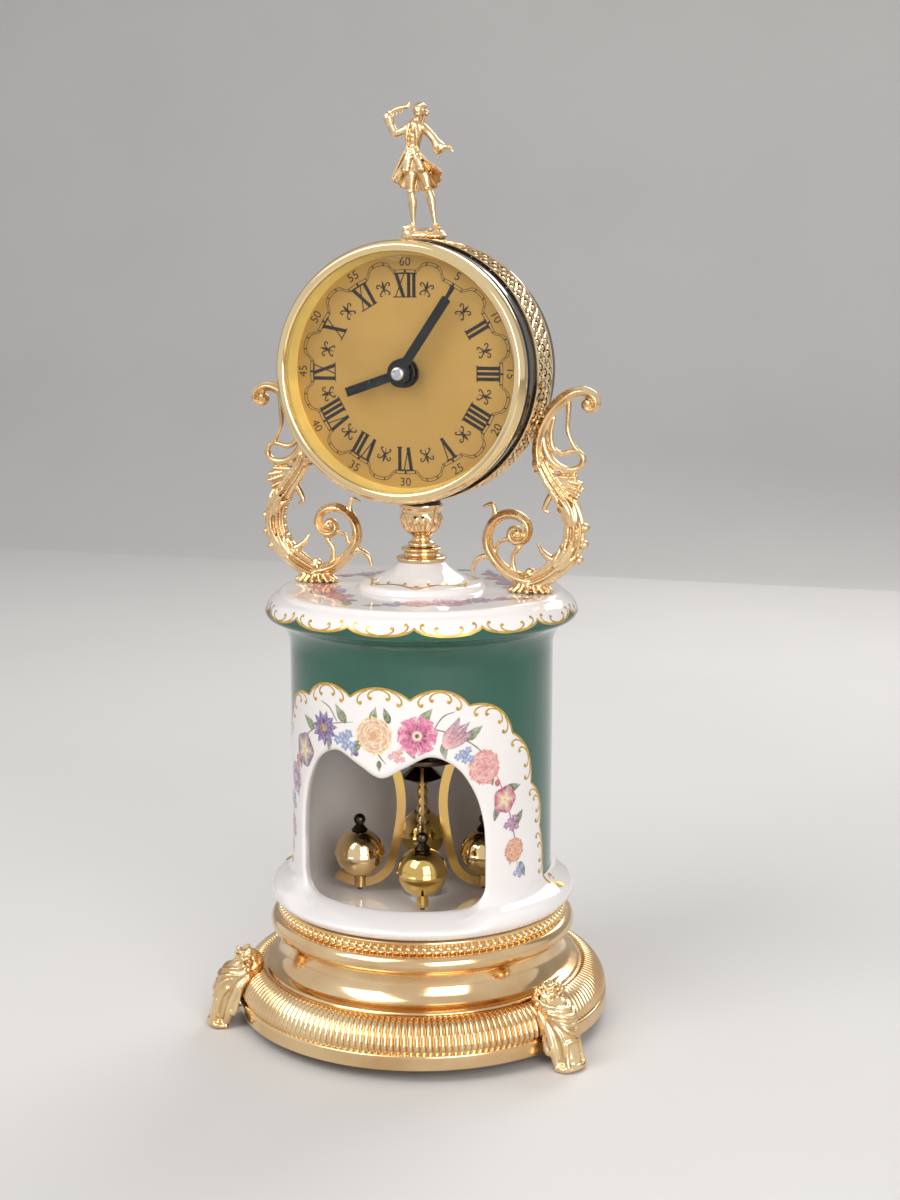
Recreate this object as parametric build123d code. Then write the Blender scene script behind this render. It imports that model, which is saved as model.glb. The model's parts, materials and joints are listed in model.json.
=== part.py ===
from build123d import *

import os
from math import cos, pi, sin, sqrt

# Mantel clock: a quartz head on a gilt stem over a glazed porcelain drum, whose heart-topped
# window shows a revolving four-ball pendulum, on a gilt plinth with three mask feet.
# Millimetres, +Z up, the dial faces -Y, and the origin is on the clock's axis at table level.

# Fits and fasteners
running_gap = 0.3
loose_fit = 0.2
screw_head_height = 1.6

# Base: stamped fluted band, spun plinth and beaded gallery
foot_lift = 5.0
rim_radius = 75.0
rim_height = 6.0
metal_wall = 1.6
flute_count = 190
flute_depth = 0.7
flute_run = 10.4
flute_rise = 11.0
shoulder_width = 4.8
shoulder_rise = 1.6
cove_depth = 4.0
cove_height = 12.4
torus_radius = 3.8
torus_inset = 2.2
top_plate = 1.8
flange_width = 6.0
bead_count = 116
bead_radius = 1.5
gallery_wall = 1.8

# Feet: three cast masks, each on a flared leg
foot_count = 3
first_foot = -30.0
foot_width = 13.0
foot_reach = 13.5
mask_radius = 6.2
mane_locks = 7
lock_radius = 1.7
foot_screw_radius = 1.5
foot_screw_head = 2.6
foot_screw_length = 4.5

# Porcelain body: one casting with floor, drum, top and boss
porcelain_height = 130.9
porcelain_wall = 4.5
floor_thickness = 5.2
seat_radius = 55.0
seat_height = 5.2
flange_radius = 61.2
flange_height = 9.7
flange_slope = 9.0
drum_radius = 52.0
top_radius = 61.5
top_drop = 8.8
top_cove = 12.5
top_thickness = 6.0
plateau_radius = 55.0
plateau_lip = 1.6
boss_radius = 24.3
boss_lip = 2.4
boss_tip_radius = 9.0
boss_height = 10.8
chamber_corner = 3.0

# Window in the drum
window_half_width = 36.5
window_sill = 14.4
window_spring = 24.0
window_lobe = 18.6
window_rise = 60.5
window_dip = 8.9
window_corner = 9.0

# Floor bolt
bolt_radius = 3.0
bolt_head_radius = 8.0
bolt_head_height = 2.0
thread_spare = 1.5

# Stem and tie rod
rod_radius = 3.0
collar_radius = 7.5
collar_height = 5.2
vase_radius = 8.6
vase_neck = 4.2
vase_height = 14.4
vase_flutes = 16
saddle_radius = 7.6
saddle_height = 4.2
nut_radius = 5.5
nut_height = 4.5
washer_radius = 8.0
washer_height = 1.2

# Head case, bezel, dial and glass, measured forward from the head's middle
case_radius = 49.0
case_wall = 1.2
case_front = 24.0
case_back = 18.5
mouth_step = 3.0
ledge_width = 2.4
ledge_height = 2.0
band_proud = 1.2
band_front = 13.0
band_width = 23.0
band_cells = 11
bezel_overhang = 3.0
bezel_inset = 1.4
bezel_width = 7.3
bezel_skirt = 1.5
dial_level = 19.0
dial_thickness = 0.8
crystal_edge = 1.8
crystal_rise = 4.4
reflector_flange = 2.2
back_thickness = 2.0
back_screw_radius = 1.2
back_screw_count = 3
small_head_height = 1.2

# Movement and hands, with levels above the dial
movement_size = 56.0
movement_depth = 15.0
bush_radius = 4.2
bush_height = 2.6
bush_nut_radius = 5.6
bush_nut_height = 1.8
pipe_radius = 2.7
arbor_radius = 1.6
hand_thickness = 0.8
hand_width = 3.5
hour_length = 22.9
hour_angle = 251.0
hour_level = 4.9
minute_length = 38.4
minute_angle = 34.0
minute_level = 7.4
minute_tip = 5.0
hub_radius = 5.3
hand_nut_radius = 2.6
hand_nut_height = 2.2
set_knob_radius = 7.0
set_knob_height = 5.0
set_knob_recess = 6.4
cell_radius = 7.1
cell_length = 49.0
cell_button_radius = 2.6
cell_button_height = 2.5
bay_wall = 2.0

# Handles, drawn from the middle of their foot on the plateau
handle_reach = 44.0
handle_foot_length = 17.2
handle_foot_width = 11.0
handle_foot_height = 4.6
handle_screw_radius = 1.7
handle_screw_inset = 3.5
handle_screw_head = 3.2

# Figurine on the head
mound_length = 20.0
mound_width = 13.0
figure_setback = 4.0
figure_height = 52.6
figure_drawn = 55.6
figure_screw_radius = 1.3
figure_screw_head = 2.8
figure_screw_depth = 2.0

# Pendulum and its drive
pendulum_turn = 18.0
arm_count = 4
ball_orbit = 25.3
ball_radius = 9.9
seam_proud = 0.4
seam_height = 1.0
arm_width = 3.6
arm_thickness = 1.2
arm_gap = 2.7
arm_height = 52.0
arm_boss_radius = 2.3
ball_pin_radius = 1.0
cap_radius = 2.4
hub_disc_radius = 16.5
hub_disc_height = 3.0
hub_boss_height = 6.0
spindle_radius = 2.4
spindle_bead = 4.0
spindle_beads = 10
canopy_radius = 8.3
canopy_height = 6.5
canopy_drop = 8.2
shaft_radius = 1.6
drive_width = 58.0
drive_depth = 44.0
drive_height = 26.0
drive_wall = 2.0
drive_drop = 12.5
bracket_width = 16.0

# Levels worked up from the table
rim_top = foot_lift + rim_height
flute_top = rim_top + flute_rise
shoulder_top = flute_top + shoulder_rise
cove_top = shoulder_top + cove_height
plinth_top = cove_top + 2 * torus_radius
floor_top = plinth_top + floor_thickness
flange_level = plinth_top + flange_height
drum_foot = flange_level + flange_slope
plateau_level = plinth_top + porcelain_height
rim_level = plateau_level - top_drop
drum_top = rim_level - top_cove
chamber_top = plateau_level - top_thickness
boss_top = plateau_level + boss_height
collar_top = boss_top + collar_height
vase_top = collar_top + vase_height
band_radius = case_radius + band_proud
mouth_radius = case_radius - mouth_step
bezel_radius = mouth_radius + bezel_overhang
bezel_lip = mouth_radius - bezel_inset
head_level = vase_top + saddle_height + band_radius

# Radii worked in from the rim
flute_radius = rim_radius - flute_run
cove_radius = flute_radius - shoulder_width
neck_radius = cove_radius - cove_depth
torus_seat = neck_radius + torus_inset
gallery_radius = seat_radius + running_gap + gallery_wall
chamber_radius = drum_radius - porcelain_wall
case_bore = case_radius - case_wall
mouth_bore = mouth_radius - case_wall


def drawn(start, *steps):
    """Closed face in the X-Z plane: a step is a point, or a point and the height of the arc to it,
    positive to the left of travel."""
    edges = []
    here = start
    for step in steps:
        if isinstance(step[0], tuple):
            end, height = step
            edges.append(SagittaArc(here, end, height))
        else:
            end = step
            edges.append(Line(here, end))
        here = end
    edges.append(Line(here, start))
    return Plane.XZ * make_face(edges)


def turned(start, *steps):
    """Solid turned about Z from an outline of radius and height."""
    return revolve(drawn(start, *steps), Axis.Z)


def disc(radius, low, high):
    """Cylinder on the Z axis between two levels."""
    return Pos(0, 0, low) * Cylinder(radius, high - low, align=(Align.CENTER, Align.CENTER, Align.MIN))


def tube(outer, inner, low, high):
    """Plain ring on the Z axis between two levels."""
    return disc(outer, low, high) - disc(inner, low, high)


def spread(count, start=0.0):
    """Turns about Z that repeat a piece evenly, from a first angle."""
    return [Rot(0, 0, start + 360 * index / count) for index in range(count)]


def foot_turns():
    """Turns of the three feet, one at the back and one on each side of the front."""
    return spread(foot_count, first_foot)


def limb(first, last, first_radius, last_radius):
    """Tapered round limb between two points, with ball ends."""
    along = Vector(*last) - Vector(*first)
    low_end = (Align.CENTER, Align.CENTER, Align.MIN)
    if first_radius == last_radius:
        shaft = Cylinder(first_radius, along.length, align=low_end)
    else:
        shaft = Cone(first_radius, last_radius, along.length, align=low_end)
    placed = Plane(origin=first, z_dir=along) * shaft
    return placed + Pos(*first) * Sphere(first_radius) + Pos(*last) * Sphere(last_radius)


def ribbed(levels, count, wave):
    """Ruled solid through rippled rings: a level is height, radius and ripple, and the wave gives
    each rib's points as a share of its pitch and of the ripple."""
    sections = []
    for height, radius, ripple in levels:
        points = []
        for rib in range(count):
            for share, swell in wave:
                turn = 2 * pi * (rib + share) / count
                reach = radius + ripple * swell
                points.append((reach * cos(turn), reach * sin(turn)))
        sections.append(Pos(0, 0, height) * make_face(Polyline(*points, close=True)))
    return loft(sections, ruled=True)


def dome_height(reach, rise):
    """Arc height from the top of a round dome to its edge, so that the arc is centred on the axis."""
    radius = (reach**2 + rise**2) / (2 * rise)
    return radius - sqrt(radius**2 - (reach**2 + rise**2) / 4)


def base_envelope():
    """Smooth outer form of the whole base, which the feet are hollowed to fit."""
    return turned(
        (0, foot_lift),
        (rim_radius, foot_lift),
        (rim_radius, rim_top),
        ((flute_radius, flute_top), -flute_run * 0.32),
        (flute_radius, flute_top + shoulder_rise / 2),
        (cove_radius, shoulder_top),
        ((neck_radius, cove_top), cove_depth * 0.6),
        (0, cove_top),
    )


def fluted_band():
    """Lower stamping: plain rim, rounded fluting and an inner lip that carries the plinth."""
    levels = [(foot_lift, rim_radius, 0.0), (rim_top, rim_radius, 0.0)]
    for share in (0.1, 0.4, 0.75, 1.0):
        turn = share * pi / 2
        reach = flute_radius + flute_run * cos(turn) - flute_depth
        levels.append((rim_top + flute_rise * sin(turn), reach, flute_depth))
    flutes = ribbed(levels, flute_count, [(0.0, 0.0), (0.5, 1.0)])
    lip_radius = cove_radius - 2 * metal_wall
    inner_radius = rim_radius - metal_wall - flute_depth
    bore = turned(
        (0, foot_lift - 1),
        (rim_radius - metal_wall, foot_lift - 1),
        (rim_radius - metal_wall, rim_top),
        (inner_radius, rim_top),
        ((flute_radius - metal_wall, flute_top - metal_wall), -flute_run * 0.22),
        (lip_radius, flute_top - metal_wall),
        (lip_radius, flute_top + 1),
        (0, flute_top + 1),
    )
    band = flutes - bore
    for turn in foot_turns():
        hole = Pos(rim_radius, 0, (foot_lift + rim_top) / 2) * Rot(0, 90, 0)
        band -= turn * hole * Cylinder(foot_screw_radius + loose_fit, 4 * metal_wall)
    return band


def base_plinth():
    """Spun upper base: shoulder, polished cove, torus and the flange that the porcelain stands on."""
    lip = flute_radius - metal_wall / 2
    return turned(
        (neck_radius - metal_wall - flange_width, plinth_top),
        (neck_radius - metal_wall - flange_width, plinth_top - top_plate / 2),
        (neck_radius - metal_wall, plinth_top - top_plate / 2),
        (neck_radius - metal_wall, cove_top),
        ((cove_radius - metal_wall, shoulder_top - shoulder_rise / 2), -cove_depth * 0.6),
        (cove_radius - metal_wall, flute_top),
        (lip, flute_top),
        (lip, flute_top + shoulder_rise / 2),
        (cove_radius, shoulder_top),
        ((neck_radius, cove_top), cove_depth * 0.6),
        (torus_seat, cove_top),
        ((torus_seat, plinth_top), -torus_radius),
    )


def plinth_plate():
    """Plate under the plinth's flange, through which the floor bolt clamps the porcelain."""
    reach = neck_radius - metal_wall - loose_fit
    return tube(reach, bolt_radius + loose_fit, plinth_top - top_plate, plinth_top - top_plate / 2)


def bead_gallery():
    """Gilt ring round the porcelain's foot, with a row of beads."""
    middle = plinth_top + 1.2 * bead_radius
    top = plinth_top + seat_height - running_gap
    levels = [(plinth_top, gallery_radius, 0.0)]
    for share in (-0.5, 0.5, 1.0):
        levels.append((middle + share * bead_radius, gallery_radius, bead_radius * sqrt(1 - share**2)))
    levels.append((top, gallery_radius, 0.0))
    ring = ribbed(levels, bead_count, [(0.0, 0.0), (0.3, 0.95), (0.7, 0.95)])
    return ring - disc(gallery_radius - gallery_wall, plinth_top - 1, top + 1)


def foot():
    """Cast foot on +X: a maned mask over a draped leg with a flared, upturned toe."""
    toe = rim_radius + foot_reach
    chest = rim_radius + foot_reach * 0.63
    side = drawn(
        (rim_radius - flute_run, rim_top),
        (rim_radius, foot_lift * 0.4),
        (rim_radius + foot_reach * 0.3, 0),
        (toe - foot_reach * 0.2, 0),
        ((toe, foot_lift * 0.75), -1.2),
        ((chest + 1.2, rim_top + 1.5), 1.5),
        ((chest, flute_top - 2.5), -1.2),
        ((rim_radius, flute_top + 3.0), 0.8),
        (rim_radius - flute_run, flute_top + 4.0),
    )
    half = foot_width / 2
    outline = [
        (half * 0.85, 0),
        (half, foot_lift * 0.7),
        (half * 0.68, rim_top - 2.0),
        (half * 0.95, rim_top + 4.0),
        (half, flute_top - 3.0),
        (half * 0.55, flute_top + 6.0),
    ]
    mirrored = [(-x, z) for x, z in reversed(outline)]
    front = Plane.YZ * make_face(Polyline(*outline, *mirrored, close=True))
    leg = extrude(side, amount=half, both=True) & extrude(front, amount=toe + foot_reach)
    mask_x = rim_radius - mask_radius + 0.8
    mask_z = flute_top + mask_radius / 2
    mask = Pos(mask_x, 0, mask_z) * Sphere(mask_radius)
    mask += Pos(mask_x + mask_radius * 0.82, 0, mask_z - mask_radius * 0.3) * Sphere(mask_radius / 2)
    for side_sign in (-1, 1):
        brow_y = side_sign * mask_radius * 0.45
        brow = Pos(mask_x + mask_radius * 0.68, brow_y, mask_z + mask_radius * 0.3)
        mask += brow * Sphere(mask_radius * 0.33)
    for lock in range(mane_locks):
        turn = pi * (lock / (mane_locks - 1) - 0.5) * 1.3
        place = Pos(mask_x - 1.0, mask_radius * sin(turn), mask_z + mask_radius * cos(turn))
        mask += place * Sphere(lock_radius)
    raised = Pos(0, 0, (foot_lift + rim_top) / 2) * Rot(0, 90, 0)
    screw_hole = raised * disc(foot_screw_radius + loose_fit, 0, rim_radius + foot_screw_length + 1)
    return leg + mask - base_envelope() - screw_hole


def foot_screw():
    """Screw on +X from inside the rim into a foot, its head seated on the rim's bore."""
    seat = sqrt((rim_radius - metal_wall) ** 2 - foot_screw_head**2)
    shank = disc(foot_screw_radius, seat, rim_radius + foot_screw_length)
    head = disc(foot_screw_head, seat - screw_head_height, seat)
    return Pos(0, 0, (foot_lift + rim_top) / 2) * Rot(0, 90, 0) * (shank + head)


def window_cut():
    """Heart-topped window, cut straight back through the front wall only."""
    sill = plinth_top + window_sill
    spring = sill + window_spring
    crown = sill + window_rise
    shoulder = (window_half_width * 0.91, spring + (crown - spring) * 0.58)
    top = Spline(
        (window_half_width, spring),
        shoulder,
        (window_lobe, crown),
        (0, crown - window_dip),
        (-window_lobe, crown),
        (-shoulder[0], shoulder[1]),
        (-window_half_width, spring),
        tangents=[(0, 1), (0, -1)],
    )
    sides = Polyline(
        (-window_half_width, spring),
        (-window_half_width, sill),
        (window_half_width, sill),
        (window_half_width, spring),
    )
    opening = make_face([top, *sides.edges()])
    low_corners = opening.vertices().group_by(Axis.Y)[0]
    opening = fillet(low_corners, window_corner)
    return extrude(Plane.XZ * opening, amount=2 * flange_radius)


def porcelain_body():
    """Glazed casting: foot ring, rolled flange, drum with window, moulded top and boss."""
    mid_flange = (drum_radius + flange_radius) / 2
    shell = turned(
        (bolt_radius + loose_fit, plinth_top),
        (seat_radius, plinth_top),
        (seat_radius, plinth_top + seat_height),
        ((flange_radius, flange_level), -1.3),
        ((mid_flange, flange_level + flange_slope * 0.55), -1.3),
        ((drum_radius, drum_foot + 1.0), 0.9),
        (drum_radius, drum_top),
        ((top_radius - 1.0, rim_level - 1.6), 2.2),
        ((top_radius - 0.6, rim_level + 1.6), -0.9),
        ((plateau_radius + 1.2, plateau_level - plateau_lip), -1.0),
        ((plateau_radius - 0.6, plateau_level), -0.6),
        (boss_radius + 0.6, plateau_level),
        (boss_radius, plateau_level + boss_lip),
        ((boss_tip_radius, boss_top), 1.6),
        (rod_radius + loose_fit, boss_top),
        (rod_radius + loose_fit, chamber_top),
        (chamber_radius - chamber_corner, chamber_top),
        ((chamber_radius, chamber_top - chamber_corner), 1.5),
        (chamber_radius, floor_top + chamber_corner / 2),
        ((chamber_radius - chamber_corner / 2, floor_top), 0.75),
        (bolt_radius + loose_fit, floor_top),
    )
    shell -= window_cut()
    for place in handle_screw_places():
        shell -= place * disc(handle_screw_radius + loose_fit, chamber_top, plateau_level)
    return shell


def floor_bolt():
    """Bolt that holds the porcelain down on the plinth, with a low round head in the chamber."""
    end = plinth_top - top_plate - washer_height - nut_height - thread_spare
    head = disc(bolt_head_radius, floor_top, floor_top + bolt_head_height)
    return disc(bolt_radius, end, floor_top) + head


def hex_nut(radius, bore, low, height):
    """Six-sided nut on the Z axis."""
    body = extrude(RegularPolygon(radius, 6), amount=height)
    return Pos(0, 0, low) * (body - disc(bore, 0, height))


def washer(shank, top):
    """Plain washer on the Z axis, hanging from a level."""
    return tube(washer_radius, shank + loose_fit, top - washer_height, top)


def stem_collar():
    """Turned collar on the boss."""
    return turned(
        (rod_radius + loose_fit, boss_top),
        (boss_tip_radius - 1.0, boss_top),
        ((collar_radius, boss_top + collar_height * 0.35), -0.4),
        ((vase_neck + 1.0, collar_top - 1.4), 0.8),
        (vase_neck + 1.0, collar_top),
        (rod_radius + loose_fit, collar_top),
    )


def stem_vase():
    """Fluted vase: a bead, a thin neck and a gadrooned bowl under the head."""
    neck = turned(
        (0, collar_top),
        (vase_neck, collar_top),
        ((vase_neck, collar_top + 2.4), -1.0),
        ((vase_neck + 0.6, collar_top + 5.2), 0.7),
        (0, collar_top + 5.2),
    )
    bowl_foot = collar_top + 5.2
    bowl_rise = vase_top - bowl_foot
    levels = []
    for share, swell in ((0.0, 0.55), (0.3, 0.9), (0.6, 1.0), (0.85, 0.86), (1.0, 0.8)):
        levels.append((bowl_foot + share * bowl_rise, vase_radius * swell - 0.6, 0.6))
    bowl = ribbed(levels, vase_flutes, [(0.0, 0.0), (0.25, 0.8), (0.5, 1.0), (0.75, 0.8)])
    return neck + bowl - disc(rod_radius + loose_fit, collar_top, vase_top)


def across_head(radius):
    """Cylinder along the head's axis, long enough to cut any piece that lies on the head."""
    return head_place() * Cylinder(radius, 6 * case_back)


def head_place():
    """Head frame: X right, Y up, Z forward out of the dial."""
    return Pos(0, 0, head_level) * Rot(90, 0, 0)


def head_saddle():
    """Dark saddle between the vase and the case, hollowed to the case's round."""
    block = disc(saddle_radius, vase_top, head_level - band_radius + saddle_height / 2)
    return block - across_head(band_radius) - disc(rod_radius + loose_fit, vase_top, head_level)


def case_nut_level():
    """Where a flat nut rests on the round bore at the bottom of the case."""
    return head_level - sqrt(case_bore**2 - nut_radius**2)


def tie_rod():
    """Threaded rod through top, stem and saddle into the case."""
    low = chamber_top - drive_wall - washer_height - nut_height - thread_spare
    return disc(rod_radius, low, case_nut_level() + nut_height + thread_spare)


def head_case():
    """Open tube that steps in to a mouth, with a ledge for the dial and a rear ring for the back cover."""
    step = case_front - bezel_skirt
    shell = tube(case_radius, case_bore, -case_back, step)
    dial_back = dial_level - dial_thickness
    ledge = dial_back - ledge_height
    shell += tube(case_bore + 0.1, mouth_bore, step - ledge_height, step)
    shell += tube(mouth_radius, mouth_bore, ledge, case_front)
    shell += tube(mouth_bore + 0.1, mouth_bore - ledge_width, ledge, dial_back)
    back_seat = back_thickness - case_back
    rear_ring = tube(case_bore + 0.1, case_bore - 2 * ledge_width, back_seat, back_seat + ledge_height)
    for place in back_screw_places():
        rear_ring -= place * disc(back_screw_radius + loose_fit, -case_back, 0)
    shell = head_place() * (shell + rear_ring)
    shell -= disc(rod_radius + loose_fit, head_level - 2 * case_radius, head_level - case_bore / 2)
    return shell - figure_place() * disc(figure_screw_radius + loose_fit, -case_radius / 2, 0)


def filigree_band():
    """Pierced gilt band round the case, with two rows of staggered openings, plain at top and bottom."""
    rear = band_front - band_width
    quarter = tube(band_radius, case_radius, rear, band_front)
    corner = Box(band_radius, band_radius, band_width, align=(Align.MIN, Align.MIN, Align.MIN))
    quarter &= Pos(0, 0, rear) * corner
    pitch = 90 / band_cells
    width = case_radius * pitch * pi / 180
    cell = Rot(0, 90, 0) * extrude(RegularPolygon(width * 0.36, 4), amount=2 * case_radius)
    cells = []
    for row, shift in ((0.3, 0.5), (0.7, 1.0)):
        for index in range(band_cells - 2):
            cells.append(Rot(0, 0, pitch * (index + shift)) * Pos(0, 0, rear + band_width * row) * cell)
    quarter -= cells
    half = quarter + mirror(quarter, Plane.YZ)
    band = head_place() * (half + mirror(half, Plane.XZ))
    band -= disc(rod_radius + loose_fit, head_level - 2 * case_radius, head_level)
    return band - figure_place() * disc(figure_screw_radius + loose_fit, -case_radius / 2, 0)


def bezel():
    """Convex gilt bezel that slips over the case's mouth and holds the glass behind its lip."""
    rear = case_front - bezel_skirt
    glass_front = case_front + reflector_flange + crystal_edge
    front = rear + bezel_width
    bore = mouth_radius + loose_fit / 2
    return head_place() * turned(
        (bore, rear),
        (bezel_radius - 1.2, rear),
        ((bezel_radius - 1.0, front), -1.1),
        ((bezel_lip, glass_front + 0.6), -0.5),
        (bezel_lip, glass_front),
        (bore, glass_front),
    )


def crystal():
    """Domed glass with a flat edge."""
    back = case_front + reflector_flange
    front = back + crystal_edge
    clear = bezel_lip - 2 * loose_fit
    swell = dome_height(clear, crystal_rise)
    return head_place() * turned(
        (0, back + crystal_rise),
        ((clear, back), swell),
        (mouth_radius, back),
        (mouth_radius, front),
        (clear, front),
        ((0, front + crystal_rise), -swell),
    )


def reflector():
    """Pale gilt ring between the dial and the glass."""
    return head_place() * turned(
        (mouth_bore - 1.2, dial_level),
        (mouth_bore - loose_fit, dial_level),
        (mouth_bore - loose_fit, case_front),
        (mouth_radius, case_front),
        (mouth_radius, case_front + reflector_flange),
        (mouth_bore - 0.4, case_front + reflector_flange),
    )


def dial():
    """Flat dial plate on the case's ledge."""
    return head_place() * tube(
        mouth_bore - loose_fit, bush_radius + loose_fit, dial_level - dial_thickness, dial_level
    )


def movement_case():
    """Quartz movement: square case with rounded corners, threaded bush and an open cell bay."""
    front = dial_level - dial_thickness
    block = Pos(0, 0, front - movement_depth) * extrude(
        RectangleRounded(movement_size, movement_size, 5.0), amount=movement_depth
    )
    bush = disc(bush_radius, front, dial_level + bush_height)
    bay = Pos(0, -movement_size / 4, front - movement_depth) * Box(
        cell_length + 2 * loose_fit, 2 * (cell_radius + loose_fit), 2 * (movement_depth - bay_wall)
    )
    pipe_bore = disc(pipe_radius + running_gap, front - movement_depth / 2, dial_level + bush_height)
    arbor_bore = disc(arbor_radius + running_gap, front - movement_depth, front)
    return head_place() * (block + bush - bay - pipe_bore - arbor_bore)


def dry_cell():
    """Round cell along X, with its button at one end."""
    body = Cylinder(cell_radius, cell_length - cell_button_height)
    button = Cylinder(cell_button_radius, cell_button_height)
    return Rot(0, 90, 0) * (body + Pos(0, 0, cell_length / 2 - cell_button_height / 2) * button)


def movement_cell():
    """Dry cell lying in the movement's bay."""
    level = dial_level - dial_thickness - bay_wall - cell_radius - loose_fit
    return head_place() * Pos(0, -movement_size / 4, level) * dry_cell()


def bush_nut():
    """Round nut that clamps the dial to the movement's bush."""
    bore = bush_radius + loose_fit / 2
    return head_place() * tube(bush_nut_radius, bore, dial_level, dial_level + bush_nut_height)


def hour_pipe():
    """Pipe that carries the hour hand out of the movement."""
    low = dial_level - dial_thickness - movement_depth / 2 + running_gap
    high = dial_level + hour_level + hand_thickness
    return head_place() * tube(pipe_radius, arbor_radius + running_gap, low, high)


def minute_arbor():
    """Arbor from the set knob through the pipe to the minute hand."""
    low = set_knob_recess - case_back
    high = dial_level + minute_level + hand_thickness + hand_nut_height
    return head_place() * disc(arbor_radius, low, high - 0.8)


def hand_blank(length, hub, bore, tip):
    """Flat baton hand along +Y, with a round hub and a thin tip."""
    blade = Pos(0, (length - tip) / 2) * Rectangle(hand_width, length - tip)
    point = Pos(0, length - tip / 2) * Rectangle(hand_width * 0.3, tip)
    outline = Circle(hub) + blade
    if tip > 0:
        outline += point
    return extrude(outline - Circle(bore), amount=hand_thickness)


def hour_hand():
    """Short baton on the pipe."""
    blank = hand_blank(hour_length, hub_radius, pipe_radius, 0)
    return head_place() * Rot(0, 0, -hour_angle) * Pos(0, 0, dial_level + hour_level) * blank


def minute_hand():
    """Long baton on the arbor."""
    blank = hand_blank(minute_length, hub_radius * 0.8, arbor_radius, minute_tip)
    return head_place() * Rot(0, 0, -minute_angle) * Pos(0, 0, dial_level + minute_level) * blank


def hand_nut():
    """Bright domed nut over the minute hand."""
    low = dial_level + minute_level + hand_thickness
    dome = turned(
        (arbor_radius, low),
        (hand_nut_radius, low),
        (hand_nut_radius, low + hand_nut_height / 2),
        ((arbor_radius, low + hand_nut_height), -0.3),
    )
    return head_place() * dome


def set_knob():
    """Fluted knob on the back of the arbor for setting the hands."""
    low = set_knob_recess - case_back
    top = low + set_knob_height
    levels = [(low, set_knob_radius - 0.5, 0.5), (top, set_knob_radius - 0.5, 0.5)]
    knob = ribbed(levels, 30, [(0.0, 0.0), (0.5, 1.0)])
    return head_place() * (knob - disc(arbor_radius, low, top))


def back_screw_places():
    """Places of the back cover's screws, in the head frame."""
    reach = case_bore - ledge_width
    return [turn * Pos(0, reach, 0) for turn in spread(back_screw_count, 60)]


def back_cover():
    """Rear plate with a hole for the set knob and a slot over the cell."""
    plate = disc(case_bore - loose_fit, -case_back, back_thickness - case_back)
    plate -= disc(set_knob_radius + 2.0, -case_back, 0)
    slot = Pos(0, -movement_size / 4, -case_back) * extrude(
        RectangleRounded(cell_length + 4, 2 * cell_radius + 2, 3.0), amount=back_thickness
    )
    plate -= slot
    for place in back_screw_places():
        plate -= place * disc(back_screw_radius + loose_fit, -case_back, 0)
    return head_place() * plate


def back_screw():
    """Small screw with a round head, on the head's axis."""
    shank = disc(back_screw_radius, -case_back, back_thickness - case_back + ledge_height)
    return shank + disc(2 * back_screw_radius, -case_back - small_head_height, -case_back)


def figure_place():
    """Place on the band's top, where the figurine stands."""
    return Pos(0, figure_setback, head_level + band_radius)


def figurine():
    """Gilt gentleman in a flared coat, one arm bent up to the head and the other held out."""
    unit = figure_height / figure_drawn
    mound = loft([
        Pos(0, 0, -3.0 * unit) * Ellipse(mound_length / 2, mound_width / 2),
        Pos(0, 0, 3.0 * unit) * Ellipse(mound_length * 0.47, mound_width * 0.45),
        Pos(0, 0, 5.0 * unit) * Ellipse(mound_length * 0.36, mound_width * 0.34),
    ])
    waist = Pos(-3.4 * unit, 0, 36.0 * unit) * Ellipse(2.9 * unit, 2.2 * unit)
    hips = Pos(-3.2 * unit, 0.4 * unit, 30.0 * unit) * Ellipse(4.6 * unit, 3.3 * unit)
    hem = Pos(-2.0 * unit, 1.0 * unit, 21.5 * unit) * Ellipse(9.6 * unit, 5.0 * unit)
    chest = Pos(-2.6 * unit, 0, 42.0 * unit) * Ellipse(3.9 * unit, 2.6 * unit)
    neck = Pos(-2.0 * unit, 0, 46.0 * unit) * Ellipse(1.5 * unit, 1.5 * unit)
    coat = loft([hem, hips, waist]) + loft([waist, chest, neck])
    limbs = [
        ((-5.6, -2.2, 5.4), (-4.0, -0.4, 8.6), 1.2, 1.1),
        ((-4.0, -0.4, 8.6), (-4.2, -0.4, 17.6), 1.2, 1.7),
        ((-4.2, -0.4, 17.6), (-3.8, 0.0, 27.0), 1.7, 2.2),
        ((5.4, -2.4, 5.4), (4.6, -0.2, 7.4), 1.2, 1.1),
        ((4.6, -0.2, 7.4), (3.0, 0.0, 19.0), 1.2, 1.7),
        ((3.0, 0.0, 19.0), (-0.6, 0.4, 27.5), 1.7, 2.2),
        ((-5.6, 0.0, 44.2), (-11.4, -0.6, 43.0), 1.7, 1.6),
        ((-11.4, -0.6, 43.0), (-13.2, -1.2, 49.0), 1.6, 2.0),
        ((-13.2, -1.2, 49.0), (-4.8, -1.6, 53.4), 1.6, 0.9),
        ((0.6, 0.0, 44.2), (5.4, -0.6, 40.6), 1.7, 1.7),
        ((5.4, -0.6, 40.6), (8.2, -1.2, 37.6), 1.7, 2.5),
        ((8.2, -1.2, 38.0), (13.4, -2.2, 35.4), 1.1, 0.8),
        ((-2.0, 0.0, 46.0), (-1.4, -0.2, 48.6), 1.3, 1.3),
        ((-0.4, 1.6, 50.4), (0.6, 2.0, 46.0), 1.5, 0.9),
    ]
    body = coat + Pos(-1.2 * unit, 0, 51.0 * unit) * Sphere(2.7 * unit)
    for first, last, first_radius, last_radius in limbs:
        start = tuple(value * unit for value in first)
        end = tuple(value * unit for value in last)
        body += limb(start, end, first_radius * unit, last_radius * unit)
    body = figure_place() * (mound + body) - across_head(band_radius)
    screw_hole = disc(figure_screw_radius + loose_fit, -case_radius / 2, figure_screw_depth + 1)
    return body - figure_place() * screw_hole


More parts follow.
